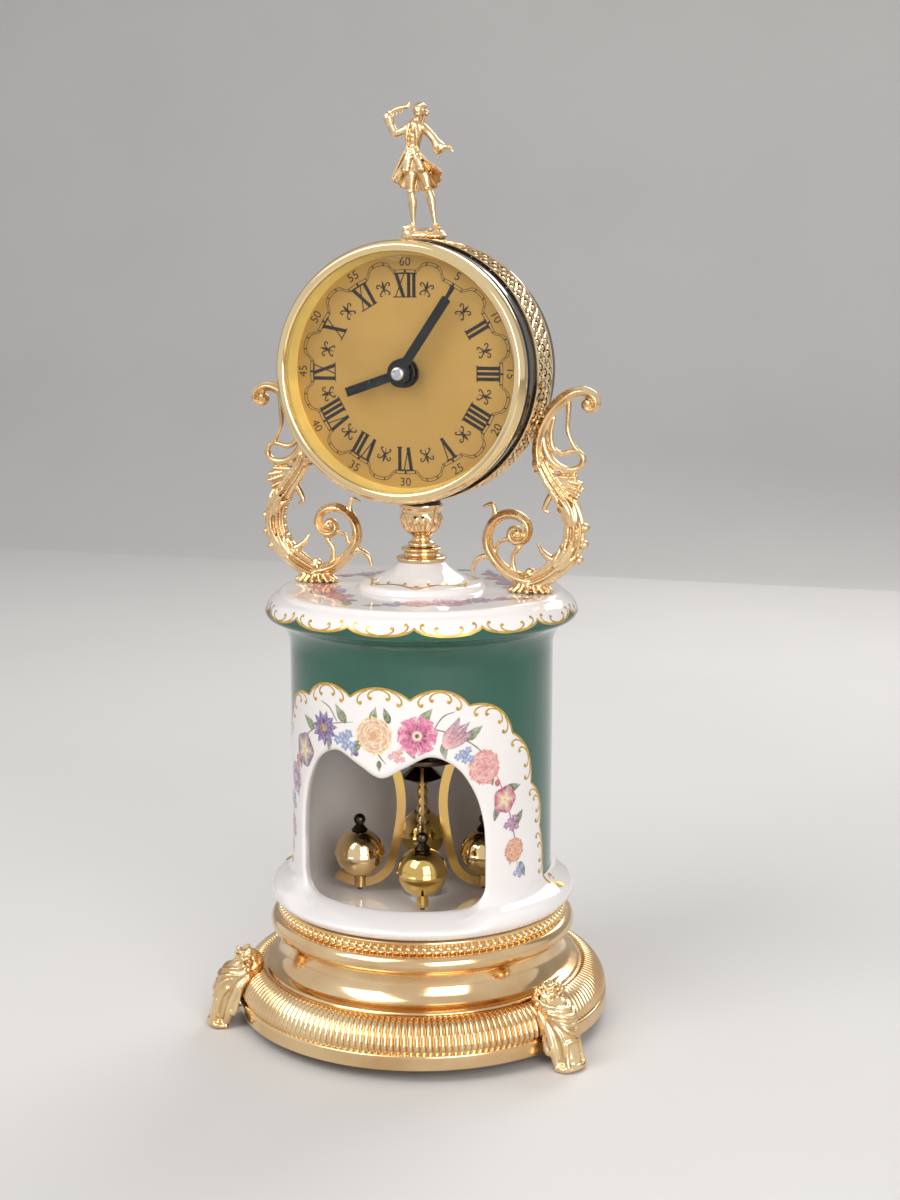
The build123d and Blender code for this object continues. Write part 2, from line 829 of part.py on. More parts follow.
def figure_screw():
    """Screw from inside the case into the mound."""
    seat = sqrt(case_bore**2 - figure_screw_head**2) - band_radius
    screw = disc(figure_screw_radius, seat, figure_screw_depth)
    screw += disc(figure_screw_head, seat - screw_head_height, seat)
    return figure_place() * screw


def handle_screw_places():
    """Axes of the screws that hold the two handles to the top."""
    reach = handle_reach - handle_screw_inset
    return [Pos(-reach, 0, 0), Pos(reach, 0, 0)]


def stroke(radius, heading, *points):
    """Round rod on tangent arcs through points of reach and height, with ball ends."""
    spots = [Vector(x, 0, z) for x, z in points]
    direction = Vector(heading[0], 0, heading[1])
    edges = []
    for here, there in zip(spots, spots[1:]):
        arc = TangentArc(here, there, tangent=direction)
        direction = arc % 1
        edges.append(arc.edge())
    path = Wire(edges)
    rod = sweep((path ^ 0) * Circle(radius), path)
    return rod + Pos(spots[0]) * Sphere(radius) + Pos(spots[-1]) * Sphere(radius)


def handle():
    """Scrolled handle on +X: fan foot, leafy trunk, open limbs and two volutes."""
    fan = loft([
        Ellipse(handle_foot_length / 2, handle_foot_width / 2),
        Pos(0, 0, handle_foot_height) * Ellipse(handle_foot_length * 0.28, handle_foot_width * 0.3),
    ])
    rods = [
        stroke(2.8, (1, 0.15), (-2, 5), (9.5, 9.6), (17.0, 24.0), (13.0, 37.0)),
        stroke(2.3, (-0.6, 0.8), (13.0, 37.0), (5.0, 46.5), (3.4, 56.0), (8.6, 69.0), (15.0, 75.5)),
        stroke(1.9, (0.8, 0.6), (15.0, 75.5), (21.4, 77.8), (26.4, 73.2), (20.2, 73.2)),
        stroke(1.3, (-0.2, -1), (16.6, 74.4), (15.0, 64.0), (20.4, 53.4), (18.4, 48.6), (8.0, 52.0)),
        stroke(2.0, (0.7, -0.7), (9.4, 44.0), (15.0, 41.6), (21.6, 41.8)),
        stroke(1.5, (0.6, -0.8), (11.4, 41.0), (15.4, 38.0), (20.6, 38.2)),
        stroke(2.1, (-1, 0.25), (2, 5), (-9, 8.6), (-17, 19), (-7.5, 30), (-1.2, 23.6), (-7.4, 23.6)),
        stroke(1.2, (-0.2, 1), (-13.4, 28.4), (-15.4, 33.6), (-18.4, 32.6)),
        stroke(1.1, (-1, 0.4), (-13.0, 13.0), (-19.0, 12.6), (-22.6, 8.0)),
        stroke(1.1, (-0.4, 1), (-5.2, 7.4), (-6.4, 13.4), (-3.4, 19.0)),
        stroke(1.4, (-1, -0.3), (13.6, 15.0), (7.6, 15.6), (4.2, 19.2)),
    ]
    buds = [(20.8, 25.6), (20.6, 19.2), (18.4, 13.2)]
    body = fan
    for rod in rods:
        body += rod
    for x, z in buds:
        body += limb((x - 3.5, 0, z - 1.0), (x, 0, z), 1.5, 1.0)
    screw_hole = disc(handle_screw_radius + loose_fit, 0, handle_foot_height - 0.4)
    body -= Pos(-handle_screw_inset, 0, 0) * screw_hole
    return Pos(handle_reach, 0, plateau_level) * body


def handle_screw():
    """Screw up through the porcelain top into a handle's foot."""
    shank = disc(handle_screw_radius, chamber_top, plateau_level + handle_foot_height - 1.0)
    return shank + disc(handle_screw_head, chamber_top - screw_head_height, chamber_top)


def arm_line():
    """Middle line of a lyre-shaped arm, from the hub down and out under its ball."""
    low = floor_top + arm_gap + arm_width / 2
    top = low + arm_height
    points = [
        (hub_disc_radius - arm_width, top),
        (ball_orbit * 0.34, low + arm_height * 0.56),
        (ball_orbit * 0.5, low + arm_height * 0.16),
        (ball_orbit, low),
        (ball_orbit + ball_radius * 0.95, low + arm_height * 0.07),
    ]
    heading = Vector(-0.5, -1)
    edges = []
    for here, there in zip(points, points[1:]):
        arc = TangentArc(here, there, tangent=heading)
        heading = arc % 1
        edges.append(arc.edge())
    return edges


def ball_level():
    """Height of the ball centres, resting on the arms' bosses."""
    return floor_top + arm_gap + arm_width + 0.6 + ball_radius


def pendulum_arm():
    """Flat cut arm on +X with a boss under its ball."""
    blade = extrude(Plane.XZ * trace(arm_line(), arm_width), amount=arm_thickness / 2, both=True)
    low = floor_top + arm_gap
    high = ball_level() - sqrt(ball_radius**2 - arm_boss_radius**2)
    boss = Pos(ball_orbit, 0, 0) * disc(arm_boss_radius, low, high)
    top = floor_top + arm_gap + arm_width / 2 + arm_height
    trimmed = blade + boss - disc(2 * hub_disc_radius, top, top + 2 * arm_width)
    return trimmed - Pos(ball_orbit, 0, 0) * disc(ball_pin_radius + loose_fit / 2, low - 1, high + 1)


def pendulum_ball():
    """Gilt ball of two halves with a seam ring, bored for its pin, flat where it is clamped."""
    seam = tube(ball_radius + seam_proud, ball_radius / 2, -seam_height / 2, seam_height / 2)
    flat = sqrt(ball_radius**2 - arm_boss_radius**2)
    ball = Sphere(ball_radius) + seam
    ball = ball & disc(2 * ball_radius, -flat, flat)
    ball -= disc(ball_pin_radius + loose_fit / 2, -ball_radius, ball_radius)
    return Pos(ball_orbit, 0, ball_level()) * ball


def ball_cap():
    """Pin through ball and arm, with a collar and a round knob on top."""
    flat = sqrt(ball_radius**2 - arm_boss_radius**2)
    low = floor_top + arm_gap - 1.2 - ball_level()
    collar = turned((0, flat), (cap_radius * 1.4, flat), (cap_radius * 0.6, flat + 2.2), (0, flat + 2.2))
    knob = Pos(0, 0, flat + 2.0 + cap_radius * 0.9) * Sphere(cap_radius)
    pin = disc(ball_pin_radius, low, flat + 1.0)
    return Pos(ball_orbit, 0, ball_level()) * (pin + collar + knob)


def hub_level():
    """Underside of the pendulum's hub, where the arms hang."""
    return floor_top + arm_gap + arm_width / 2 + arm_height


def pendulum_hub():
    """Disc that carries the arms, with a boss on the drive's shaft."""
    low = hub_level()
    return turned(
        (shaft_radius, low + hub_disc_height),
        (shaft_radius, low),
        (hub_disc_radius, low),
        (hub_disc_radius, low + hub_disc_height / 2),
        ((4 * shaft_radius, low + hub_disc_height), -0.4),
        (3 * shaft_radius, low + hub_disc_height + hub_boss_height),
        (shaft_radius, low + hub_disc_height + hub_boss_height),
    )


def pendulum_spindle():
    """Turned column of beads under the hub, ending in a ball."""
    waist = spindle_radius * 0.65
    level = hub_level()
    steps = []
    for bead in range(spindle_beads):
        level -= spindle_bead
        steps.append(((waist, level), spindle_radius - waist))
    column = turned((0, hub_level()), (waist, hub_level()), *steps, (0, level))
    return column + Pos(0, 0, level - spindle_radius * 0.6) * Sphere(spindle_radius)


def pendulum_canopy():
    """Eight-sided shallow canopy round the top of the spindle."""
    middle = hub_level() - canopy_drop
    upper = loft([
        Pos(0, 0, middle) * RegularPolygon(canopy_radius, 8),
        Pos(0, 0, middle + canopy_height * 0.7) * RegularPolygon(spindle_radius * 1.4, 8),
    ])
    lower = loft([
        Pos(0, 0, middle - canopy_height * 0.3) * RegularPolygon(spindle_radius * 1.6, 8),
        Pos(0, 0, middle) * RegularPolygon(canopy_radius, 8),
    ])
    bore = disc(spindle_radius + loose_fit / 2, middle - canopy_height, middle + canopy_height)
    return upper + lower - bore


def drive_top():
    """Top of the drive's housing under the bracket."""
    return chamber_top - drive_drop


def drive_shaft():
    """Output shaft from the drive down into the pendulum's hub."""
    return disc(shaft_radius, hub_level(), drive_top() - drive_height / 2)


def drive_housing():
    """Moulded drive housing, open below, with a wall round the shaft's bearing."""
    top = drive_top()
    outer = RectangleRounded(drive_width, drive_depth, 4.0)
    inner = RectangleRounded(drive_width - 2 * drive_wall, drive_depth - 2 * drive_wall, 3.0)
    shell = Pos(0, 0, top - drive_height) * extrude(outer, amount=drive_height)
    shell -= Pos(0, 0, top - drive_height) * extrude(inner, amount=drive_height - drive_wall)
    bearing = tube(3 * shaft_radius, shaft_radius + running_gap, top - drive_height + drive_wall, top)
    bearing += disc(3 * shaft_radius, top - drive_height / 2 + running_gap, top)
    return shell + bearing


def drive_cover():
    """Plate that closes the drive from below, bored for the shaft."""
    low = drive_top() - drive_height
    inset = 2 * drive_wall + loose_fit
    plate = RectangleRounded(drive_width - inset, drive_depth - inset, 3.0)
    cover = Pos(0, 0, low) * extrude(plate, amount=drive_wall)
    return cover - disc(shaft_radius + running_gap, low, low + drive_wall)


def drive_cell():
    """Dry cell lying beside the bearing in the drive."""
    level = drive_top() - drive_height + drive_wall + cell_radius
    back = drive_depth / 2 - drive_wall - cell_radius - loose_fit
    return Pos(0, back, level) * dry_cell()


def drive_bracket():
    """Bent strip clamped under the top, whose legs carry the drive."""
    top = chamber_top
    leg_low = drive_top() - drive_height / 2
    width = drive_width + 2 * drive_wall
    strip = Pos(0, 0, (top + leg_low) / 2) * Box(width, bracket_width, top - leg_low)
    strip -= Pos(0, 0, (top + leg_low) / 2 - drive_wall) * Box(drive_width, bracket_width, top - leg_low)
    strip -= disc(rod_radius + loose_fit, top - drive_wall, top)
    for place in bracket_screw_places():
        strip -= place * disc(back_screw_radius + loose_fit, -2 * drive_wall, 2 * drive_wall)
    return strip


def bracket_screw_places():
    """Axes of the two screws through the bracket's legs, pointing outwards."""
    level = drive_top() - drive_height / 4
    return [Pos(sign * drive_width / 2, 0, level) * Rot(0, sign * 90, 0) for sign in (-1, 1)]


def bracket_screw():
    """Screw through a leg into the housing's wall, its axis along +Z outwards."""
    head = disc(2 * back_screw_radius, drive_wall, drive_wall + small_head_height)
    return disc(back_screw_radius, 0, drive_wall) + head


def write(name, shape):
    """Save one piece as its own file."""
    export_step(shape, os.path.join("parts", name + ".step"))


def group(solids):
    """Separate solids kept together in one file."""
    return Compound(children=[solid for piece in solids for solid in piece.solids()])


def main():
    os.makedirs("parts", exist_ok=True)
    write("fluted_band", fluted_band())
    write("base_plinth", base_plinth())
    write("plinth_plate", plinth_plate())
    write("bead_gallery", bead_gallery())
    one_foot = foot()
    for name, turn in zip(("foot_front_right", "foot_rear", "foot_front_left"), foot_turns()):
        write(name, turn * one_foot)
    write("foot_screws", group([turn * foot_screw() for turn in foot_turns()]))
    write("floor_bolt", floor_bolt())
    under_plate = plinth_top - top_plate
    write("floor_washer", washer(bolt_radius, under_plate))
    nut_low = under_plate - washer_height - nut_height
    write("floor_nut", hex_nut(nut_radius, bolt_radius, nut_low, nut_height))
    write("porcelain_body", porcelain_body())

    write("stem_collar", stem_collar())
    write("stem_vase", stem_vase())
    write("head_saddle", head_saddle())
    write("tie_rod", tie_rod())
    under_bracket = chamber_top - drive_wall
    write("tie_washer", washer(rod_radius, under_bracket))
    low_nut = under_bracket - washer_height - nut_height
    nuts = [
        hex_nut(nut_radius, rod_radius, low_nut, nut_height),
        hex_nut(nut_radius, rod_radius, case_nut_level(), nut_height),
    ]
    write("tie_nuts", group(nuts))
    right_handle = handle()
    write("handle_right", right_handle)
    write("handle_left", mirror(right_handle, Plane.YZ))
    write("handle_screws", group([place * handle_screw() for place in handle_screw_places()]))

    write("head_case", head_case())
    write("filigree_band", filigree_band())
    write("bezel", bezel())
    write("crystal", crystal())
    write("reflector_ring", reflector())
    write("dial", dial())
    write("movement_case", movement_case())
    write("movement_cell", movement_cell())
    write("bush_nut", bush_nut())
    write("hour_pipe", hour_pipe())
    write("minute_arbor", minute_arbor())
    write("hour_hand", hour_hand())
    write("minute_hand", minute_hand())
    write("hand_nut", hand_nut())
    write("set_knob", set_knob())
    write("back_cover", back_cover())
    write("back_screws", group([head_place() * place * back_screw() for place in back_screw_places()]))
    write("figurine", figurine())
    write("figurine_screw", figure_screw())

    write("drive_bracket", drive_bracket())
    write("drive_housing", drive_housing())
    write("drive_cover", drive_cover())
    write("drive_cell", drive_cell())
    write("bracket_screws", group([place * bracket_screw() for place in bracket_screw_places()]))
    write("drive_shaft", drive_shaft())
    write("pendulum_hub", pendulum_hub())
    write("pendulum_spindle", pendulum_spindle())
    write("pendulum_canopy", pendulum_canopy())
    caps = []
    for index, turn in enumerate(spread(arm_count, pendulum_turn - 90), start=1):
        write(f"pendulum_arm_{index}", turn * pendulum_arm())
        write(f"pendulum_ball_{index}", turn * pendulum_ball())
        caps.append(turn * ball_cap())
    write("ball_caps", group(caps))


main()
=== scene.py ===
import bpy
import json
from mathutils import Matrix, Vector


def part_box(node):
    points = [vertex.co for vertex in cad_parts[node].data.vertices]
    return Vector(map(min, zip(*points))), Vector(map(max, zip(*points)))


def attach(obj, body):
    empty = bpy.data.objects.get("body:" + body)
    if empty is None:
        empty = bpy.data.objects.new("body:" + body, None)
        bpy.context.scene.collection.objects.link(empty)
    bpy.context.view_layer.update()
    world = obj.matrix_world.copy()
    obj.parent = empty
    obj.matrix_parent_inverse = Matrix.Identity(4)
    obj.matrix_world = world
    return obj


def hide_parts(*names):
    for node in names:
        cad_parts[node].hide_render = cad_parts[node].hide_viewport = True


bl_info = {
    "name": "Mantel clock with revolving pendulum",
    "version": (1, 0, 0),
    "blender": (4, 5, 0),
    "location": "View3D > Sidebar > Clock",
    "description": "Dresses the packed clock: porcelain, gilt castings, dial, pendulum and stage",
    "category": "Object",
}

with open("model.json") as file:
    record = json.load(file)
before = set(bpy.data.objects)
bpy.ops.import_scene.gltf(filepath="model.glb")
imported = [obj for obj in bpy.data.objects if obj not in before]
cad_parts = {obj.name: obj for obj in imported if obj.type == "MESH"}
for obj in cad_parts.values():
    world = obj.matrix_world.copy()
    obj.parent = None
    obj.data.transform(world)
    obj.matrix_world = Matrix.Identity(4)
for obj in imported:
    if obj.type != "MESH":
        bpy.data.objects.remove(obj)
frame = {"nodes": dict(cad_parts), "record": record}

import json
from math import cos, pi, radians, sin, sqrt

import bmesh
import bpy
import numpy as np
from mathutils import Matrix, Vector

# Shapes are worked out in millimetres and put into meshes in metres.
MM = 0.001
LEVEL = np.array([1, 1, 0])
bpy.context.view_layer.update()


def corners(node):
    """Lowest and highest corners of a frame node, in millimetres."""
    low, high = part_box(node)
    return np.array(low) / MM, np.array(high) / MM


def tops(*nodes):
    """Highest levels of frame nodes."""
    return [corners(node)[1][2] for node in nodes]


def reaches(*nodes):
    """How far frame nodes reach along +X."""
    return [corners(node)[1][0] for node in nodes]


def depths(node):
    """Forward levels of a frame node's front and back."""
    low, high = corners(node)
    return -low[1], -high[1]


def middle_of(node):
    """Centre of a frame node's box."""
    return sum(corners(node)) / 2


# Levels and reaches read from the frame
FLUTE_TOP, PLINTH_TOP, GALLERY_TOP = tops("fluted_band", "base_plinth", "bead_gallery")
BOSS_TOP, COLLAR_TOP, VASE_TOP = tops("porcelain_body", "stem_collar", "stem_vase")
RIM_RADIUS, TOP_RADIUS, CASE_RADIUS = reaches("fluted_band", "porcelain_body", "head_case")
BEZEL_RADIUS, BAND_RADIUS, MOUTH_RADIUS = reaches("bezel", "filigree_band", "crystal")
RIM_LOW = corners("fluted_band")[0][2]
PLATEAU = corners("handle_right")[0][2]
FLOOR_TOP = tops("floor_bolt")[0] - 2.0
HUB_LOW = corners("pendulum_hub")[0][2]
HEAD_LEVEL = middle_of("bezel")[2]
CASE_FRONT, CASE_BACK = depths("head_case")
BAND_FRONT, BAND_BACK = depths("filigree_band")
BEZEL_FRONT, BEZEL_BACK = depths("bezel")
GLASS_FRONT, GLASS_BACK = depths("crystal")
DIAL_FRONT = depths("dial")[0]
FIGURE_FOOT = HEAD_LEVEL + BAND_RADIUS
FIGURE_DEPTH = middle_of("figurine_screw")[1]


# Lines and surfaces on grids


def flowing(points, count):
    """Smooth line through points: Catmull-Rom cubics, then even steps along its length."""
    knots = np.asarray(points, float)
    padded = np.vstack([2 * knots[0] - knots[1], knots, 2 * knots[-1] - knots[-2]])
    at = np.linspace(0, len(knots) - 1, 24 * len(knots))
    low = np.minimum(at.astype(int), len(knots) - 2)
    share = (at - low)[:, None]
    a, b, c, d = (padded[low + step] for step in range(4))
    line = b + 0.5 * share * (c - a + share * (2 * a - 5 * b + 4 * c - d + share * (3 * b - a - 3 * c + d)))
    return stepped(line, count)


def run_along(line):
    """Length along a line up to each of its points."""
    return np.r_[0, np.cumsum(np.linalg.norm(np.diff(line, axis=0), axis=1))]


def stepped(line, count):
    """A line's points at even steps of its own length."""
    run = run_along(line)
    at = np.linspace(0, run[-1], count)
    return np.stack([np.interp(at, run, column) for column in line.T], -1)


def outline(start, *steps):
    """Line of straight runs and arcs: a step is a point, or a point and the arc's height to the left."""
    parts = [np.array([start], float)]
    here = parts[0][0]
    share = np.linspace(0, 1, 25)[1:, None]
    for step in steps:
        point, height = (step, 0.0) if np.ndim(step[0]) == 0 else step
        there = np.array(point, float)
        if abs(height) < 1e-6:
            parts.append(here + (there - here) * share)
        else:
            chord = np.linalg.norm(there - here)
            along = (there - here) / chord
            left = np.array([-along[1], along[0]])
            half = 2 * np.arctan(2 * height / chord)
            radius = chord / (2 * np.sin(half))
            sweep = half * (2 * share - 1)
            arc = along * radius * np.sin(sweep) + left * radius * (np.cos(sweep) - np.cos(half))
            parts.append((here + there) / 2 + arc)
        here = there
    return np.vstack(parts)


def even(points, spacing, soft=0.0, closed=False):
    """Points at even spacing along a line, its corners rounded by a running mean over soft."""
    line = np.vstack([points, points[:1]]) if closed else np.asarray(points, float)
    line = stepped(line, max(int(round(run_along(line)[-1] / spacing)), 4) + 1)
    ends = line[0].copy(), line[-1].copy()
    if closed:
        line = line[:-1]
    reach = int(round(soft / spacing))
    if reach:
        weights = np.hanning(2 * reach + 3)[1:-1]
        padded = np.pad(line, ((reach, reach), (0, 0)), mode="wrap" if closed else "edge")
        line = np.stack([np.convolve(column, weights / weights.sum(), "valid") for column in padded.T], -1)
        if not closed:
            line[0], line[-1] = ends
    return line


def angles(count):
    """Angles of a full turn in even steps."""
    return np.linspace(0, 2 * pi, count, endpoint=False)


def about_z(radius, turn, height):
    """Points (r sin a, -r cos a, z), with the angle a from the front."""
    return np.stack(np.broadcast_arrays(radius * np.sin(turn), -radius * np.cos(turn), height), -1)


def lathe(profile, sides):
    """Surface of revolution of a profile of radius and height."""
    radius, height = np.asarray(profile, float).T
    return about_z(radius[:, None], angles(sides), height[:, None])


def skin(grid, rows=False, cols=True):
    """Quads over a grid of points, joined across its ends where rows or cols is set."""
    count, across = grid.shape[:2]
    index = np.arange(count * across).reshape(count, across)
    if rows:
        index = np.vstack([index, index[:1]])
    if cols:
        index = np.hstack([index, index[:, :1]])
    quads = np.stack([index[:-1, :-1], index[:-1, 1:], index[1:, 1:], index[1:, :-1]], -1)
    return grid.reshape(-1, 3), quads.reshape(-1, 4)


def joined(skins):
    """Several skins as one."""
    starts = np.cumsum([0] + [len(points) for points, _ in skins])
    points = np.vstack([points for points, _ in skins])
    quads = np.vstack([quads + start for (_, quads), start in zip(skins, starts)])
    return points, quads


def unit(vectors):
    """Vectors brought to length one."""
    return vectors / np.maximum(np.linalg.norm(vectors, axis=-1, keepdims=True), 1e-12)


def heading_of(line):
    """Unit vectors along a line."""
    return unit(np.gradient(line, axis=0))


def right_of(line):
    """Unit vectors to the right of a flat line."""
    return heading_of(line)[:, ::-1] * [1, -1]


def rod(path, radius, sides=10, flat=1.0, across=(0, 1, 0), ends=4, ribs=0, rib_depth=0.0):
    """Rod along a path: p + r (cos a n + flat sin a b), with b near across and half-ball ends."""
    path = np.asarray(path, float)
    radius = np.broadcast_to(np.asarray(radius, float), len(path))
    heading = heading_of(path)
    tip = np.linspace(0, pi / 2, ends + 1)[:-1]
    head = path[0] - heading[0] * radius[0] * np.cos(tip)[:, None]
    tail = path[-1] + heading[-1] * radius[-1] * np.cos(tip[::-1])[:, None]
    centre = np.vstack([head, path, tail])
    reach = np.concatenate([radius[0] * np.sin(tip), radius, radius[-1] * np.sin(tip[::-1])])
    along = np.vstack([np.repeat(heading[:1], ends, 0), heading, np.repeat(heading[-1:], ends, 0)])
    aside = np.asarray(across, float)
    flatwise = unit(aside - along * (along @ aside)[:, None])
    proud = np.cross(flatwise, along)
    turn = angles(sides)
    swell = 1 + rib_depth * np.cos(ribs * turn)
    ring = (np.cos(turn) * swell)[None, :, None] * proud[:, None]
    ring = ring + flat * (np.sin(turn) * swell)[None, :, None] * flatwise[:, None]
    return skin(centre[:, None] + reach[:, None, None] * ring)


def limb(points, sides=10, steps=6, **settings):
    """Rod through points that each carry their own radius: (x, y, z, r)."""
    line = flowing(points, steps * len(points))
    return rod(line[:, :3], line[:, 3], sides, **settings)


def blob(centre, radii, sides=14, rows=8):
    """Ellipsoid: centre + radii (cos a sin b, sin a sin b, cos b)."""
    down = np.linspace(0, pi, rows + 1)[:, None]
    turn = angles(sides)[None]
    level = np.broadcast_to(np.cos(down), (rows + 1, sides))
    ball = np.stack([np.cos(turn) * np.sin(down), np.sin(turn) * np.sin(down), level], -1)
    return skin(np.asarray(centre, float) + ball * np.asarray(radii, float))


def shell(sheet, thickness):
    """Closed shell: an open grid and its copy moved in along its normals, joined at the rim."""
    down, across = np.gradient(sheet, axis=0), np.gradient(sheet, axis=1)
    inner = sheet - thickness * unit(np.cross(across, down))
    loops = np.concatenate([sheet, inner[:, ::-1]], 1)
    middle = (loops + loops[:, ::-1]) / 2
    return skin(np.concatenate([middle[:1], loops, middle[-1:]], 0))


def turned_flat(points, angle, shift=0):
    """Flat points moved out by shift and turned clockwise by an angle in degrees."""
    c, s = cos(radians(angle)), sin(radians(angle))
    x, y = points[..., 0], points[..., 1] + shift
    return np.stack([x * c + y * s, -x * s + y * c], -1)


def from_head(points):
    """Head frame (right, up, forward) to the clock's frame."""
    points = np.asarray(points, float)
    return np.stack([points[..., 0], -points[..., 2], HEAD_LEVEL + points[..., 1]], -1)


def turned(profile, spacing, sides, place=np.asarray):
    """Closed profile with its corners eased, turned about Z and put in place."""
    return skin(place(lathe(even(profile, spacing, spacing, closed=True), sides)), rows=True)


# Meshes and pieces


def add_field(mesh, key, values):
    """A value or a colour for each of a mesh's points."""
    if values.ndim == 1:
        mesh.attributes.new(key, "FLOAT", "POINT").data.foreach_set("value", values.astype(np.float32))
    else:
        paint = np.hstack([values, np.ones((len(values), 1))]).astype(np.float32)
        mesh.attributes.new(key, "FLOAT_COLOR", "POINT").data.foreach_set("color", paint.ravel())


def mesh_of(name, points, quads, fields=None, closed=True):
    """Mesh in metres with its doubled points merged; a closed one has its faces turned outwards."""
    mesh = bpy.data.meshes.new(name)
    mesh.from_pydata((points * MM).tolist(), [], quads.tolist())
    for key, values in (fields or {}).items():
        add_field(mesh, key, values)
    work = bmesh.new()
    work.from_mesh(mesh)
    bmesh.ops.remove_doubles(work, verts=work.verts, dist=1e-6)
    bmesh.ops.dissolve_degenerate(work, edges=work.edges, dist=1e-7)
    if closed:
        bmesh.ops.recalc_face_normals(work, faces=work.faces)
    work.to_mesh(mesh)
    work.free()
    return mesh


def read(items, field, kind=float, width=3):
    """Array of one field of a mesh's vertices, edges or triangles, a row for each."""
    values = np.zeros(width * len(items), kind)
    items.foreach_get(field, values)
    return values.reshape(-1, width)


def facing(points, quads, outward):
    """Quads of an open sheet, each turned so that it faces along outward at its first corner."""
    a, b, c, d = (points[quads[:, corner]] for corner in range(4))
    wrong = np.einsum("ij,ij->i", np.cross(c - a, d - b), outward[quads[:, 0]]) < 0
    quads = quads.copy()
    quads[wrong] = quads[wrong][:, ::-1]
    return quads


def new_object(name, data):
    """Object for a mesh, text, light or camera, linked to the scene."""
    made = bpy.data.objects.new(name, data)
    bpy.context.scene.collection.objects.link(made)
    return made


def add_piece(name, mesh, slot, *nodes, finish=None, body="clock_body", sharp=40.0):
    """Object for a mesh, smooth but for its sharp edges, in its slot's finish or another that is named.
    It rides on its body in place of its nodes."""
    mesh.shade_smooth()
    mesh.set_sharp_from_angle(angle=radians(sharp))
    mesh.materials.append(FINISHES[finish or slot])
    piece = new_object(name, mesh)
    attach(piece, body)
    if nodes:
        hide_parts(*nodes)


def add_form(name, shape, slot, node, **settings):
    """Piece for a closed skin that stands for one node."""
    add_piece(name + "_form", mesh_of(name, *shape), slot, node, **settings)


def cast_mesh(name, skins, detail):
    """Overlapping forms melted into one casting on a voxel grid and smoothed, with a hollow field:
    how far each point lies below the mean of its neighbours, spread over a few steps."""
    grain = bpy.context.scene.clock_sizes.cast_grain * detail
    form = new_object(name, mesh_of(name + "_form", *joined(skins)))
    melt = form.modifiers.new("Melt", "REMESH")
    melt.mode = "VOXEL"
    melt.voxel_size = grain
    ease = form.modifiers.new("Ease", "SMOOTH")
    ease.factor = 0.5
    ease.iterations = 1
    mesh = plain_mesh(form)
    place, normal = read(mesh.vertices, "co"), read(mesh.vertices, "normal")
    ends = read(mesh.edges, "vertices", int, 2)
    start, end = np.vstack([ends, ends[:, ::-1]]).T
    degree = np.maximum(np.bincount(start, minlength=len(place)), 1)

    def around(values):
        return np.bincount(start, values[end], len(place)) / degree

    mean = np.stack([around(column) for column in place.T], -1)
    hollow = np.einsum("ij,ij->i", mean - place, normal) / grain
    for _ in range(3):
        hollow = 0.4 * hollow + 0.6 * around(hollow)
    add_field(mesh, "hollow", hollow)
    return mesh


def plain_mesh(holder):
    """Mesh of an object with its modifiers applied; the object itself goes."""
    bpy.context.view_layer.update()
    mesh = bpy.data.meshes.new_from_object(holder.evaluated_get(bpy.context.evaluated_depsgraph_get()))
    bpy.data.objects.remove(holder)
    return mesh


# Sizes and colours that a user would change


def length(label, description, millimetres):
    """Length property in metres from a default in millimetres."""
    return bpy.props.FloatProperty(
        name=label, description=description, default=millimetres * MM, min=0.0, unit="LENGTH", precision=5
    )


def linear(shown):
    """Linear values of a colour from display values of 0 to 255."""
    shown = np.array(shown) / 255
    return np.where(shown <= 0.04045, shown / 12.92, ((shown + 0.055) / 1.055) ** 2.4)


def colour(label, description, *shown):
    """Colour property from display values."""
    return bpy.props.FloatVectorProperty(
        name=label, description=description, default=tuple(linear(shown)), min=0.0, max=1.0, subtype="COLOR"
    )


def count_of(label, description, default):
    """Whole-number property for something that repeats."""
    return bpy.props.IntProperty(name=label, description=description, default=default, min=3)


class ClockSizes(bpy.types.PropertyGroup):
    """Sizes of the ornament that the frame leaves open."""

    flutes: count_of("Flutes", "Ribs round the lower band", 190)
    flute_depth: length("Flute depth", "How far each rib stands out", 0.9)
    beads: count_of("Beads", "Beads round the gallery", 116)
    window_lip: length("Window lip", "Rounding of the porcelain's window edge", 2.4)
    line_width: length("Gold line", "Width of the painted gold border", 0.85)
    rim_lobes: count_of("Rim lobes", "White lobes that hang round the top's rim", 15)
    boss_lobes: count_of("Boss lobes", "Arcs of the gold line on the boss", 7)
    bloom_radius: length("Bloom", "Radius of a large painted bloom", 7.6)
    numeral_height: length("Numerals", "Height of the hour numerals", 8.6)
    lace_wire: length("Lace wire", "Radius of the wires in the pierced band", 0.46)
    cast_grain: length("Cast detail", "Smallest detail of the castings", 0.42)


class ClockColours(bpy.types.PropertyGroup):
    """Colours of the finishes."""

    glaze_white: colour("White glaze", "White porcelain", 240, 234, 230)
    glaze_green: colour("Green glaze", "Green ground of the porcelain", 26, 88, 70)
    line_gold: colour("Line gold", "Painted gold borders", 214, 172, 72)
    gilt: colour("Gilt", "Polished gilt brass", 240, 212, 166)
    gilt_deep: colour("Gilt shade", "Gilt in worn and shaded places", 214, 174, 124)
    # Patina, and painted shade, that darkens the recesses of castings
    patina: colour("Patina", "Dark tone in the recesses of castings", 92, 58, 30)
    bezel: colour("Bezel", "Polished gold of the bezel", 242, 216, 162)
    dial: colour("Dial", "Satin gold of the dial", 187, 149, 84)
    ring: colour("Inner ring", "Pale gold ring round the dial", 247, 222, 134)
    brass: colour("Brass", "Polished brass of the pendulum", 226, 188, 104)
    black: colour("Black", "Gloss black of the case", 14, 15, 15)
    ink: colour("Ink", "Printing on the dial", 20, 16, 12)
    floor: colour("Floor", "Pale studio floor and backdrop", 226, 223, 219)


# Node groups shared by the finishes


